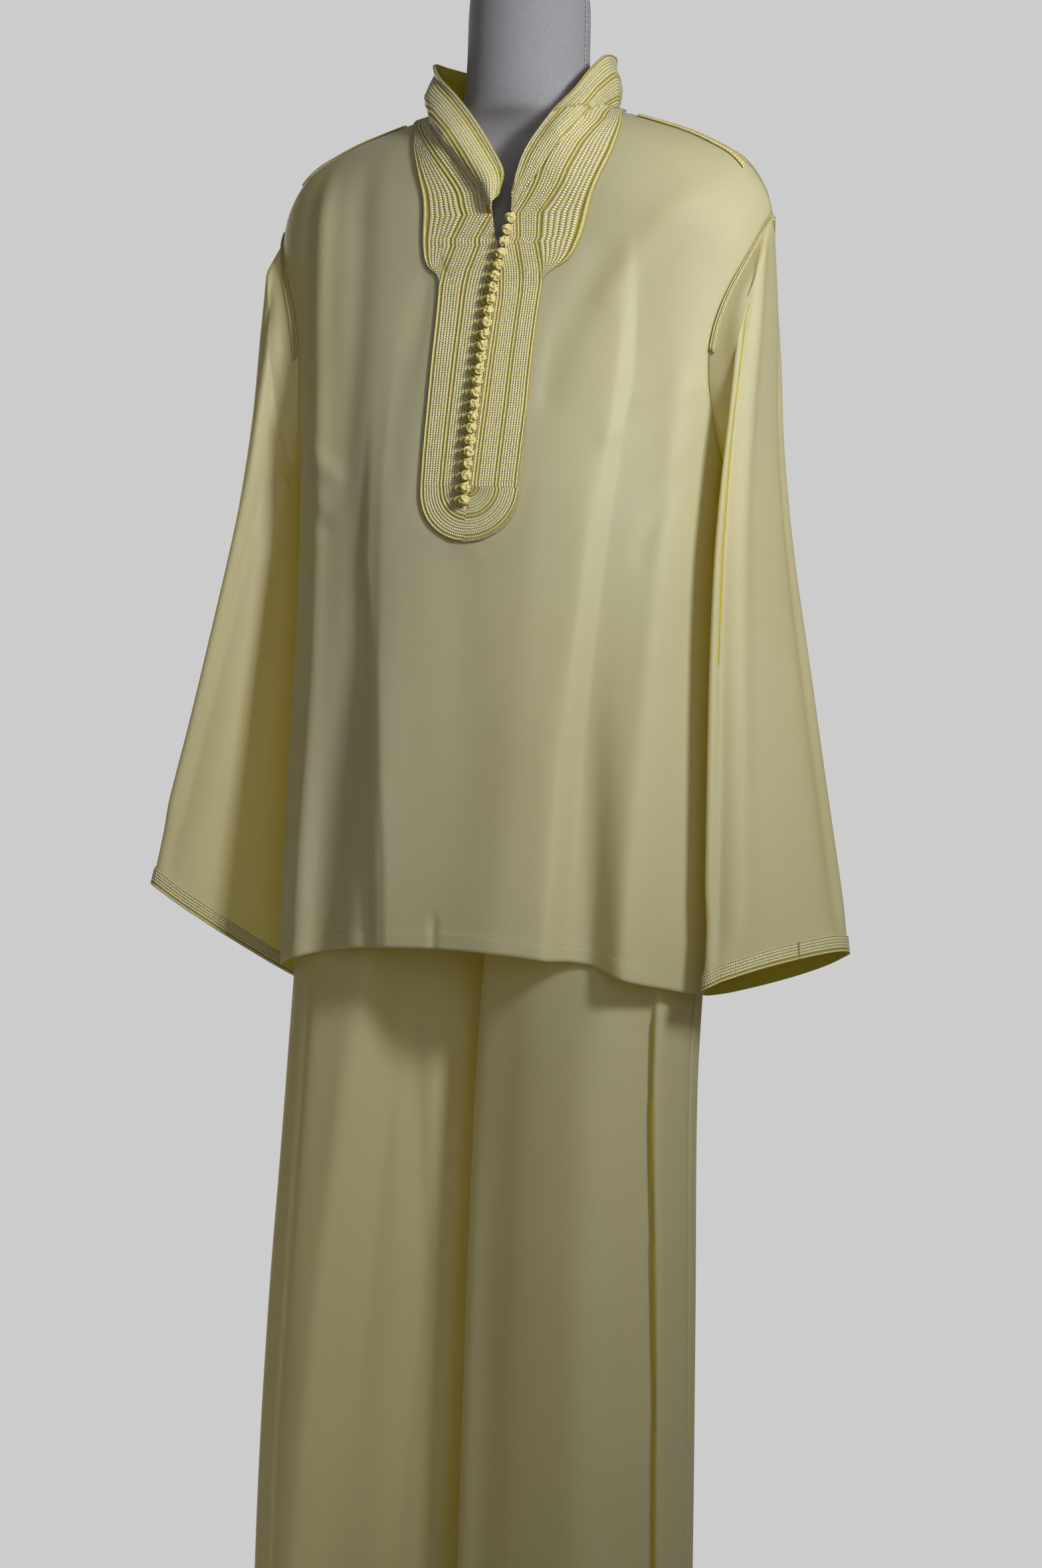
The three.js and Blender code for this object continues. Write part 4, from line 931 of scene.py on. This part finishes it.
def collar_object():
    knots = stations()
    count = len(knots)
    u = np.linspace(0, count - 1, 420)
    table = np.concatenate([np.arange(count)[:, None], knots], 1)
    x, height, lift = (straight(table, key, u) for key in (1, 2, 3))
    base_y = np.array([tunic_point(np.array(a), np.array(b), int(c))[1] for a, b, c in knots[:, [0, 1, 3]]])
    y = np.interp(u, table[:, 0], base_y)
    base = np.stack([x, y, height + lift], -1)
    top = np.stack([curve(table, key, u) for key in (5, 6, 7)], -1)
    hand = smooth((straight(table, 8, u) + 1) / 2)
    v = np.linspace(0, 1, 30)[:, None, None]
    grid = base[None] * (1 - v) + top[None] * v
    swell = np.sin(math.pi * np.minimum(v[..., 0] * 1.2, 1))
    bulge = COLLAR_BULGE * swell * straight(table, 9, u)
    bulge = bulge + 0.9 * (1 - smooth(v[..., 0] * 3))
    grid = grid + unit(grid * [1, 0.6, 0]) * bulge[..., None]
    away = np.stack([grid[..., 0], grid[..., 1], np.full(grid.shape[:2], -20.0)], -1)
    n = normals_of(grid, False, away)
    down = np.linalg.norm(np.diff(grid, axis=0), axis=2)
    height_along = np.concatenate([np.zeros((1, len(u))), np.cumsum(down, 0)])
    across = height_along[-1:] - height_along
    along_edge = np.broadcast_to(lengths(grid[-1])[None], across.shape)
    # The wearer's left wing has a join where the plastron's groups end
    join = u - 15.3 - 1.6 * v[..., 0]
    beyond = join < 0
    seam = hump(join, 0.12) * (hand[None] > 0.9)
    across = across + 8.0 * beyond * (hand[None] > 0.5)
    ends = smooth(u / 0.4) * smooth((count - 1 - u) / 0.4)
    outer = grid + n * (0.9 + 0.7 * braid_relief(across) * ends[None] + 0.5 * seam)[..., None]
    inner = grid - n * 0.9
    obj = braided("collar", outer, inner, across, along_edge)
    plain_inside(obj, across.size)
    keep(obj, ["collar"])
    front = straight(table, 4, u) < -0.5
    depth = {}
    for sign in (-1, 1):
        pick = front & ((hand > 0.5) == (sign > 0))
        heights, depths = height[pick][::-sign], height_along[-1][pick][::-sign]
        depth[sign] = (np.append([1288, 1312, 1336], heights), np.append([0, 3, 10], depths))
    return depth


WING_DEPTH = collar_object()


def from_edge(x, z):
    """Distance from the slit, from the collar's free edge or from the middle of the round end."""
    off = x - slit_x(z)
    wing = np.where(off > 0, np.interp(z, *WING_DEPTH[1]), np.interp(z, *WING_DEPTH[-1]))
    opening = np.interp(z, FRONT_NECK[:, 1], FRONT_NECK[:, 0])
    slope = 1 - 0.19 * smooth((z - NECK_Z) / 60)
    beside = np.maximum(np.abs(x - neck_shift(z)) - opening, 0) * slope + wing
    round_end = np.hypot(x - curve(PLASTRON, 1, z), z - PLASTRON_TURN_Z)
    return np.where(z > NECK_Z, beside, np.where(z > PLASTRON_TURN_Z, np.abs(off) + wing, round_end))


def braid_across(x, z):
    """Where a point lies in the braid, past the straight groups in the lobes."""
    hand = np.where(x > slit_x(z), 1, -1)
    rim = from_edge(curve(PLASTRON, 1, z) + hand * curve(PLASTRON, 2, z), z)
    foot_x = curve(PLASTRON, 1, PLASTRON_LOBE_Z) + hand * curve(PLASTRON, 2, PLASTRON_LOBE_Z)
    straight_end = from_edge(foot_x, np.full_like(z, PLASTRON_LOBE_Z))
    straight_end = np.minimum(straight_end, rim)
    at = from_edge(x, z)
    beyond = STRAIGHT_GROUPS + BRAID_PERIOD * (at - straight_end) / np.maximum(rim - straight_end, 0.5)
    lobe_end = STRAIGHT_GROUPS + BRAID_PERIOD
    return np.where(at < straight_end, at / straight_end * STRAIGHT_GROUPS, np.minimum(beyond, lobe_end))


def plastron_object():
    cols, rows = 141, 300
    fraction = np.linspace(-1, 1, cols)
    top = np.full(cols, 1400.0)
    for _ in range(40):
        x = curve(PLASTRON, 1, top) + curve(PLASTRON, 2, top) * fraction
        top = (top + panel_top(x, -1) - 0.5) / 2
    v = np.linspace(0, 1, rows)[:, None]
    # More rows round the curved bottom
    z = PLASTRON_BOTTOM_Z + (top - PLASTRON_BOTTOM_Z) * v ** 1.15
    mid = curve(PLASTRON, 1, z)
    half = curve(PLASTRON, 2, z)
    x = mid + half * fraction
    angle = np.arctan2(x - mid, PLASTRON_TURN_Z - z)
    quarter = PLASTRON_HALF * math.pi / 2
    s = np.where(z > PLASTRON_TURN_Z, quarter + (z - PLASTRON_TURN_Z), PLASTRON_HALF * np.abs(angle))
    across = braid_across(x, z)
    slit = np.abs(x - slit_x(z))
    dip = smooth(1 - (slit - 0.5) / 2.0) * (z > SLIT_BOTTOM_Z)
    lift = 2.05 + BRAID_RISE * braid_relief(across) - 1.2 * dip
    outer = front_face(x, z, lift)
    inner = front_face(x, z, np.full_like(x, PLASTRON_UNDER))
    obj = braided("plastron", outer, inner, across, s)
    keep(obj, ["plastron"])


plastron_object()


# Sleeves
def sleeve_ring(table, s, hand):
    read = lambda key: curve(table, key, s)
    outer = np.stack([hand * read(OUTER_X), read(MID_Y), read(OUTER_Z)], -1)
    inner = np.stack([hand * read(INNER_X), read(MID_Y), read(INNER_Z)], -1)
    centre = (outer + inner) / 2
    turn = np.radians(read(TURN))
    half = read(BREADTH)
    long = np.stack([hand * np.sin(turn) * half, np.cos(turn) * half, -read(DIP)], -1)
    short = (outer - inner) / 2
    short[..., 1] -= np.sin(turn) * np.abs(short[..., 0])
    return centre, long, short


# Sleeve creases: angle and ring number at the top, the same at the foot, spread, reach
SLEEVE_CREASES = [
    (0.5, 0.75, 0.6, 7.5, 0.2, 3.4), (1.0, 1.2, 1.0, 7.8, 0.2, -4.6), (1.45, 1.6, 0.8, 6.8, 0.2, 3.0),
    (2.1, 1.95, 1.6, 7.6, 0.22, -4.0), (2.6, 2.5, 2.0, 7.9, 0.2, 2.6), (-0.6, -0.8, 1.0, 7.6, 0.22, -3.6),
    (-1.2, -1.3, 1.4, 7.8, 0.22, 3.2), (-2.0, -1.8, 1.2, 7.2, 0.25, -3.6),
]


def sleeve_detail(s, angle, hand):
    """Creases of a sleeve by ring number and angle, outward."""
    a = np.mod(angle + math.pi, 2 * math.pi) - math.pi
    d = 0
    for a0, a1, s0, s1, spread, reach in SLEEVE_CREASES:
        t = np.clip((s - s0) / (s1 - s0), 0, 1)
        ends = smooth((s - s0 + 0.5) / 0.5) * smooth((s1 + 0.5 - s) / 0.5)
        off = np.mod(a - (a0 + (a1 - a0) * t) + math.pi, 2 * math.pi) - math.pi
        d = d + reach * ends * hump(off, spread)
    d += 0.9 * uneven(a * 2.2, s * 1.6, 11 + hand) + 0.4 * uneven(a * 6, s * 4, 15 + hand)
    return d * smooth(s / 1.2) * (1 - 0.55 * smooth((s - 7.3) / 0.7))


def sleeve_grid(table, hand, levels, angles):
    s = levels[:, None]
    angle = angles[None, :]
    centre, long, short = sleeve_ring(table, np.maximum(s, 1), hand)
    lobe = signed_power(np.sin(angle), 0.85)
    body = centre + short * np.cos(angle)[..., None] - long * lobe[..., None]
    t = (1 + np.cos(angle)) / 2
    z = UNDERARM_Z + (ARMHOLE_TOP_Z - UNDERARM_Z) * t
    start = np.empty((1, angles.size, 3))
    for side in (-1, 1):
        pick = (np.sin(angles) >= 0) if side < 0 else (np.sin(angles) < 0)
        zz = z[0, pick]
        start[0, pick] = tunic_point(hand * edge_x(zz, side), zz, side, False)
    start[..., 0] += hand * 0.15
    share = np.clip(s, 0, 1)[..., None]
    return start * (1 - share) + body * share


def cuff_braid(word, outer, normals):
    """A band round the cuff, three columns to each of the sleeve's."""
    lower, upper = outer[-1], outer[-6]
    share = (CUFF_BAND / np.linalg.norm(lower - upper, axis=1))[:, None]
    a = np.linspace(0, SLEEVE_COLUMNS, 3 * SLEEVE_COLUMNS, endpoint=False)

    def spread(values):
        i = np.floor(a).astype(int) % SLEEVE_COLUMNS
        f = (a - np.floor(a))[:, None]
        return values[i] * (1 - f) + values[(i + 1) % SLEEVE_COLUMNS] * f

    low, high = spread(lower), spread(lower + (upper - lower) * share)
    n_low, n_high = spread(normals[-1]), spread(normals[-4])
    steps = np.linspace(0, 1, 22)[:, None, None]
    band = high[None] + (low - high)[None] * steps
    band_n = unit(n_high[None] + (n_low - n_high)[None] * steps)
    across = np.broadcast_to(BRAID_FIRST + (1 - steps[..., 0]) * CUFF_BAND, band.shape[:2])
    along_edge = np.broadcast_to(lengths(low)[None], band.shape[:2])
    top = band + band_n * (1.1 + BRAID_RISE * braid_relief(across))[..., None]
    name = f"cuff_braid_{word}"
    keep(braided(name, top, band + band_n * 0.4, across, along_edge, True), [name])


def armhole_braid(word, table, hand, middle):
    """A narrow braid over the top of the armhole seam."""
    arc = np.linspace(-7, 7, 90) * 2 * math.pi / 26
    foot, reach = sleeve_grid(table, hand, np.array([0.0, 0.35]), arc)
    run = reach - foot
    ends = np.clip(ARMHOLE_BAND / np.linalg.norm(run, axis=1), 0, 1)[:, None]
    steps = np.linspace(0, 1, 7)[:, None, None]
    first = foot + run * 0.08
    strip = first[None] * (1 - steps) + (foot + run * ends)[None] * steps
    n = normals_of(strip, False, strip - middle)
    across = np.broadcast_to(BRAID_FIRST + BRAID_PERIOD + steps[..., 0] * 6.5, strip.shape[:2])
    along_edge = np.broadcast_to(lengths(first)[None], strip.shape[:2])
    top = strip + n * (1.2 + BRAID_RISE * braid_relief(across))[..., None]
    name = f"armhole_braid_{word}"
    keep(braided(name, top, strip + n * 0.45, across, along_edge), [name])


def shoulder_braid(word, hand):
    """A narrow braid just in front of the shoulder seam."""
    xs = hand * np.linspace(*SHOULDER_BRAID_X, 120)
    x, ahead = np.broadcast_arrays(xs[None], np.linspace(9.5, 17.5, 13)[:, None])
    across = np.broadcast_to(np.linspace(BRAID_FIRST, BRAID_FIRST + 8.4, 13)[:, None], x.shape)
    top = shoulder_face(x, ahead, 1.3 + BRAID_RISE * braid_relief(across))
    under = shoulder_face(x, ahead, np.full(x.shape, 0.45))
    name = f"shoulder_braid_{word}"
    keep(braided(name, top, under, across, np.abs(x)), [name])


def sleeve(table, hand, word):
    angles = np.linspace(0, 2 * math.pi, SLEEVE_COLUMNS, endpoint=False)
    levels = np.linspace(0, 8, SLEEVE_ROWS)
    grid = sleeve_grid(table, hand, levels, angles)
    centre = grid.mean(1, keepdims=True)
    n = normals_of(grid, True, grid - centre)
    detail = sleeve_detail(levels[:, None], angles[None, :], hand)
    outer = grid + n * detail[..., None]
    n2 = normals_of(outer, True, outer - centre)
    obj = shell(f"sleeve_{word}", outer, outer - n2 * SHELL, True, CREPE)
    plain_inside(obj, outer[..., 0].size)
    keep(obj, [f"sleeve_{word}"])
    cuff_braid(word, outer, n2)
    armhole_braid(word, table, hand, grid[:20].mean((0, 1)))
    shoulder_braid(word, hand)


sleeve(LEFT_SLEEVE, 1, "left")
sleeve(RIGHT_SLEEVE, -1, "right")


# Buttons
def button_place(i):
    """Where a button sits along the slit: x and height."""
    z = BUTTON_TOP_Z + (BUTTON_BOTTOM_Z - BUTTON_TOP_Z) * i / (BUTTON_COUNT - 1)
    return curve(BUTTON_LINE, 1, z), z


def knot_mesh():
    """A knotted ball: one cord woven over and under itself round a small core."""
    t = np.linspace(0, 2 * math.pi, 145)
    around = 3 * t
    up = math.radians(62) * np.sin(4 * t)
    radius = 3.75 - 0.5 * np.sin(8 * t)
    path = np.stack([np.cos(up) * np.cos(around), np.cos(up) * np.sin(around), np.sin(up)], -1)
    cord, faces = tube([path * radius[:, None]], 1.05, 6)
    rows, cols = 7, 12
    theta = np.linspace(0.25, math.pi - 0.25, rows)[:, None]
    phi = np.linspace(0, 2 * math.pi, cols, endpoint=False)[None]
    flat = np.sin(theta)
    core = np.stack(np.broadcast_arrays(flat * np.cos(phi), flat * np.sin(phi), np.cos(theta)), -1) * 3.6
    first = len(cord)
    faces = faces + grid_faces(rows, cols, True, first, True).tolist()
    faces.append(list(range(first, first + cols)))
    last = first + (rows - 1) * cols
    faces.append(list(range(last, last + cols))[::-1])
    return np.concatenate([cord, core.reshape(-1, 3)]), faces


knot_points, knot_faces = knot_mesh()
rng = np.random.RandomState(5)
for i in range(BUTTON_COUNT):
    place = front_face(*button_place(i), BUTTON_LIFT)
    spin = Matrix.Rotation(rng.uniform(0, 6.28), 3, "Y") @ Matrix.Rotation(rng.uniform(0, 6.28), 3, "X")
    turned = knot_points @ np.array(spin).T
    ball = object_from(f"button_{i + 1:02d}", turned + place, knot_faces, CORD)
    keep(ball, [f"button_{i + 1:02d}"])


def button_loops():
    paths = []
    for i in range(3, BUTTON_COUNT):
        x, z = button_place(i)
        for inset in (0.0, 1.9):
            t = np.linspace(-1, 1, 13)
            width = 7.4 - inset
            px = x - 2.6 - width * (1 - t * t) ** 0.55
            pz = z + (3.9 - inset) * t
            paths.append(front_face(px, pz, 4.1 + 0.9 * (1 - t * t)))
    points, faces = tube(paths, 0.9, 7)
    # The loops wear the darker copy of the cord, which is painted shade.
    obj = object_from("button_loops", points, faces, SHADED_LOOP_CORD)
    keep(obj, ["button_loop_cord"])


button_loops()


# Trousers
def trouser_point(s, z, hand, side, detail=True):
    half = curve(TROUSERS, 1, z)
    shift = curve(TROUSERS, 4, z)
    reach = curve(TROUSERS, 2 if side < 0 else 3, z)
    seat = smooth((z - CROTCH_Z) / (RISE_TOP_Z - CROTCH_Z))
    power = 2 / SECTION_POWER
    leg = s * math.pi
    leg_x = half / 2 * (1 + signed_power(np.cos(leg), power))
    leg_y = reach * np.maximum(np.sin(leg), 0) ** power
    turn = leg / 2
    seat_x = half * np.maximum(np.cos(turn), 0) ** power
    seat_y = reach * np.sin(turn) ** power
    x = np.maximum(leg_x + (seat_x - leg_x) * seat, 0)
    y = leg_y + (seat_y - leg_y) * seat
    for at, spread, push, start in LEG_FOLDS:
        at = at if side < 0 else 1 - at
        ends = smooth((start - z) / LEG_FOLD_FADE) * smooth(np.sin(math.pi * s) * 2)
        y = y + side * push * ends * hump(s - at, spread)
    if detail:
        y = y + side * leg_detail(s, z, hand, side) * smooth(np.sin(math.pi * s) * 2.2)
    x = shift + hand * (x + LEG_SEAM_GAP + (SEAM_HALF_GAP - LEG_SEAM_GAP) * seat)
    y = y - TROUSER_SHIFT_Y + side * SEAM_HALF_GAP
    return np.stack(np.broadcast_arrays(x, y, z), -1).astype(float)


# Trouser creases, by share of the way round a panel
RIGHT_LEG_CREASES = [
    (along, [(60, 0.33), (300, 0.33), (620, 0.36)], 0.05, 5.0, 90),
    (along, [(120, 0.63), (320, 0.66), (438, 0.68), (660, 0.62)], 0.04, -4.6, 90),
    (along, [(60, 0.12), (700, 0.1)], 0.03, -3.6, 90),
    (along, [(60, 0.5), (560, 0.5)], 0.04, 2.4, 90),
    (along, [(60, 0.8), (640, 0.84)], 0.04, 2.2, 90),
]
LEFT_LEG_CREASES = [
    (along, [(60, 0.13), (345, 0.14), (689, 0.17)], 0.04, 4.0, 90),
    (lip, [(60, 0.2), (342, 0.21), (660, 0.24)], 0.03, 0.09, -10.0, 90),
    (along, [(60, 0.45), (600, 0.47)], 0.07, 1.6, 90),
    (along, [(60, 0.62), (620, 0.64)], 0.05, -1.4, 90),
]
BACK_LEG_CREASES = [
    (along, [(60, 0.22), (700, 0.26)], 0.045, 3.4, 90),
    (along, [(60, 0.36), (760, 0.4)], 0.045, -4.2, 90),
    (along, [(60, 0.56), (660, 0.54)], 0.05, 3.2, 90),
    (along, [(60, 0.76), (700, 0.72)], 0.05, -3.6, 90),
]


def leg_detail(s, z, hand, side):
    """Creases of a trouser panel. At the front the right leg falls back and the left swells."""
    if side > 0:
        d = creases(BACK_LEG_CREASES, s, z)
    elif hand < 0:
        edge = np.interp(z, [60, 300, 738], [0.40, 0.43, 0.50])
        d = creases(RIGHT_LEG_CREASES, s, z) - 28 * smooth((s - edge) / 0.1)
    else:
        d = creases(LEFT_LEG_CREASES, s, z) + 14 * hump(s - 0.86, 0.13)
    d += 1.1 * uneven(s * 9, z / 70, 21 + hand) + 0.5 * uneven(s * 26, z / 26, 24 + side)
    return d * smooth((860 - z) / 200)


def trouser_panel(name, side, hand, rows, cols):
    heights = np.linspace(TROUSER_HEM_Z, TROUSER_TOP_Z, rows)[:, None]
    grid = trouser_point(np.linspace(0, 1, cols)[None], heights, hand, side)
    seat = smooth((grid[..., 2] - CROTCH_Z) / (RISE_TOP_Z - CROTCH_Z))
    centre = curve(TROUSERS, 4, grid[..., 2]) + hand * curve(TROUSERS, 1, grid[..., 2]) / 2 * (1 - seat)
    away = np.stack([grid[..., 0] - centre, grid[..., 1] + TROUSER_SHIFT_Y + side * 6, seat * 0], -1)
    panel = shell(name, grid, grid - normals_of(grid, False, away) * SHELL, False, CREPE)
    plain_inside(panel, seat.size)
    keep(panel, [name])


for side_word, side, rows, cols in (("front", -1, 150, 76), ("back", 1, 120, 64)):
    for hand_word, hand in (("left", 1), ("right", -1)):
        trouser_panel(f"trouser_{side_word}_{hand_word}", side, hand, rows, cols)


def waistband():
    angle = np.linspace(0, 2 * math.pi, 128, endpoint=False)[None]
    z = np.linspace(WAIST_LOW, WAIST_LOW + WAIST_HEIGHT, 12)[:, None]
    power = 2 / SECTION_POWER
    cos, sin = np.cos(angle), np.sin(angle)
    x = 130 * signed_power(cos, power)
    reach = np.where(sin < 0, 84, 88) - 1
    y = reach * signed_power(sin, power) - TROUSER_SHIFT_Y
    grid = np.stack(np.broadcast_arrays(x, y, z), -1)
    n = normals_of(grid, True, np.stack(np.broadcast_arrays(x, y + TROUSER_SHIFT_Y, z * 0), -1))
    ripple = 0.5 * np.cos(angle * 64) * np.sin(math.pi * (z - WAIST_LOW) / WAIST_HEIGHT)
    outer = grid + n * (ripple - 0.5)[..., None]
    obj = shell("waistband", outer, outer - n * SHELL, True, CREPE)
    keep(obj, ["waistband"])


waistband()


# Pole and base keep their solids, with better finishes
for node_name, finish in (("pole", STEEL), ("base", PAINT)):
    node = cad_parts[node_name]
    node.data.materials.clear()
    node.data.materials.append(finish)

# Floor, light and camera
PHOTO_WIDTH, PHOTO_HEIGHT = 1568, 2359
FOCAL = 4333.0
AXIS_PX, HORIZON_PX = 768, 1000
AZIMUTH, ROLL = math.radians(22), math.radians(1.5)
CAMERA_REACH, CAMERA_Z = 2.6, 0.972
SENSOR = 36.0
BACKDROP = 0.604
scene = bpy.context.scene
scene.view_settings.view_transform = "Standard"


def world_light():
    world = bpy.data.worlds.new("studio")
    scene.world = world
    world.use_nodes = True
    tree = world.node_tree
    tree.nodes.clear()
    out = tree.nodes.new("ShaderNodeOutputWorld")
    seen = add_node(tree, "ShaderNodeBackground", Color=(BACKDROP, BACKDROP, BACKDROP, 1), Strength=1.0)
    lit = add_node(tree, "ShaderNodeBackground", Color=(1.0, 0.99, 0.95, 1), Strength=0.08)
    path = tree.nodes.new("ShaderNodeLightPath")
    blend_shaders(tree, path.outputs["Is Camera Ray"], lit, seen, out.name)


world_light()


def area_light(name, place, target, size, power, spread=180):
    light = bpy.data.lights.new(name, "AREA")
    light.shape = "RECTANGLE"
    light.size, light.size_y = size
    light.energy = power
    light.spread = math.radians(spread)
    obj = bpy.data.objects.new(name, light)
    scene.collection.objects.link(obj)
    obj.location = place
    obj.rotation_euler = (Vector(target) - Vector(place)).to_track_quat("-Z", "Y").to_euler()


area_light("key", (1.45, -0.95, 1.8), (0, 0, 1.17), (0.3, 0.3), 4.9, 75)
area_light("back", (-1.7, 1.6, 1.3), (0, 0, 1.1), (1.2, 1.2), 26)
area_light("fill", (1.4, -2.7, 1.9), (0, 0, 1.3), (1.6, 1.6), 2.0, 58)


def floor():
    side = 6.0
    corners = [(x * side, y * side, -0.0005) for x, y in ((-1, -1), (1, -1), (1, 1), (-1, 1))]
    mesh = bpy.data.meshes.new("floor")
    mesh.from_pydata(corners, [], [(0, 1, 2, 3)])
    obj = bpy.data.objects.new("floor", mesh)
    scene.collection.objects.link(obj)
    material, tree, shader = node_material("floor")
    shader.inputs["Base Color"].default_value = (0.8, 0.8, 0.8, 1)
    shader.inputs["Roughness"].default_value = 0.9
    coords = add_node(tree, "ShaderNodeTexCoord")
    length = tree.nodes.new("ShaderNodeVectorMath")
    length.operation = "LENGTH"
    tree.links.new(coords.outputs["Object"], length.inputs[0])
    fade = add_node(tree, "ShaderNodeMapRange", interpolation_type="SMOOTHSTEP")
    fade.inputs["From Min"].default_value = 0.2
    fade.inputs["From Max"].default_value = 0.5
    tree.links.new(length.outputs["Value"], fade.inputs["Value"])
    flat = add_node(tree, "ShaderNodeEmission", Color=(BACKDROP, BACKDROP, BACKDROP, 1), Strength=1.0)
    path = tree.nodes.new("ShaderNodeLightPath")
    share = maths(tree, "MULTIPLY", fade.outputs["Result"], path.outputs["Is Camera Ray"])
    blend_shaders(tree, share, shader, flat, "Material Output")
    mesh.materials.append(material)


floor()


def camera():
    """The photo's view, with the lens turned so that the horizon and the axis fall as in the photo."""
    tilt = math.atan((PHOTO_HEIGHT / 2 - HORIZON_PX) / FOCAL)
    pan = math.atan((AXIS_PX - PHOTO_WIDTH / 2) / FOCAL)
    forward = Vector((-math.sin(AZIMUTH), math.cos(AZIMUTH), 0))
    across = Vector((math.cos(AZIMUTH), math.sin(AZIMUTH), 0))
    level = forward * math.cos(pan) - across * math.sin(pan)
    right = Vector((level.y, -level.x, 0))
    look = level * math.cos(tilt) - Vector((0, 0, 1)) * math.sin(tilt)
    up = right.cross(look)
    turned_right = right * math.cos(ROLL) + up * math.sin(ROLL)
    turned_up = up * math.cos(ROLL) - right * math.sin(ROLL)
    data = bpy.data.cameras.new("camera")
    data.sensor_fit = "VERTICAL"
    data.sensor_height = SENSOR
    data.lens = SENSOR * FOCAL / PHOTO_HEIGHT
    obj = bpy.data.objects.new("camera", data)
    scene.collection.objects.link(obj)
    matrix = Matrix((turned_right, turned_up, -look)).transposed().to_4x4()
    place = (math.sin(AZIMUTH) * CAMERA_REACH + SHIFT_X, -math.cos(AZIMUTH) * CAMERA_REACH, CAMERA_Z)
    matrix.translation = place
    obj.matrix_world = matrix
    scene.camera = obj


camera()
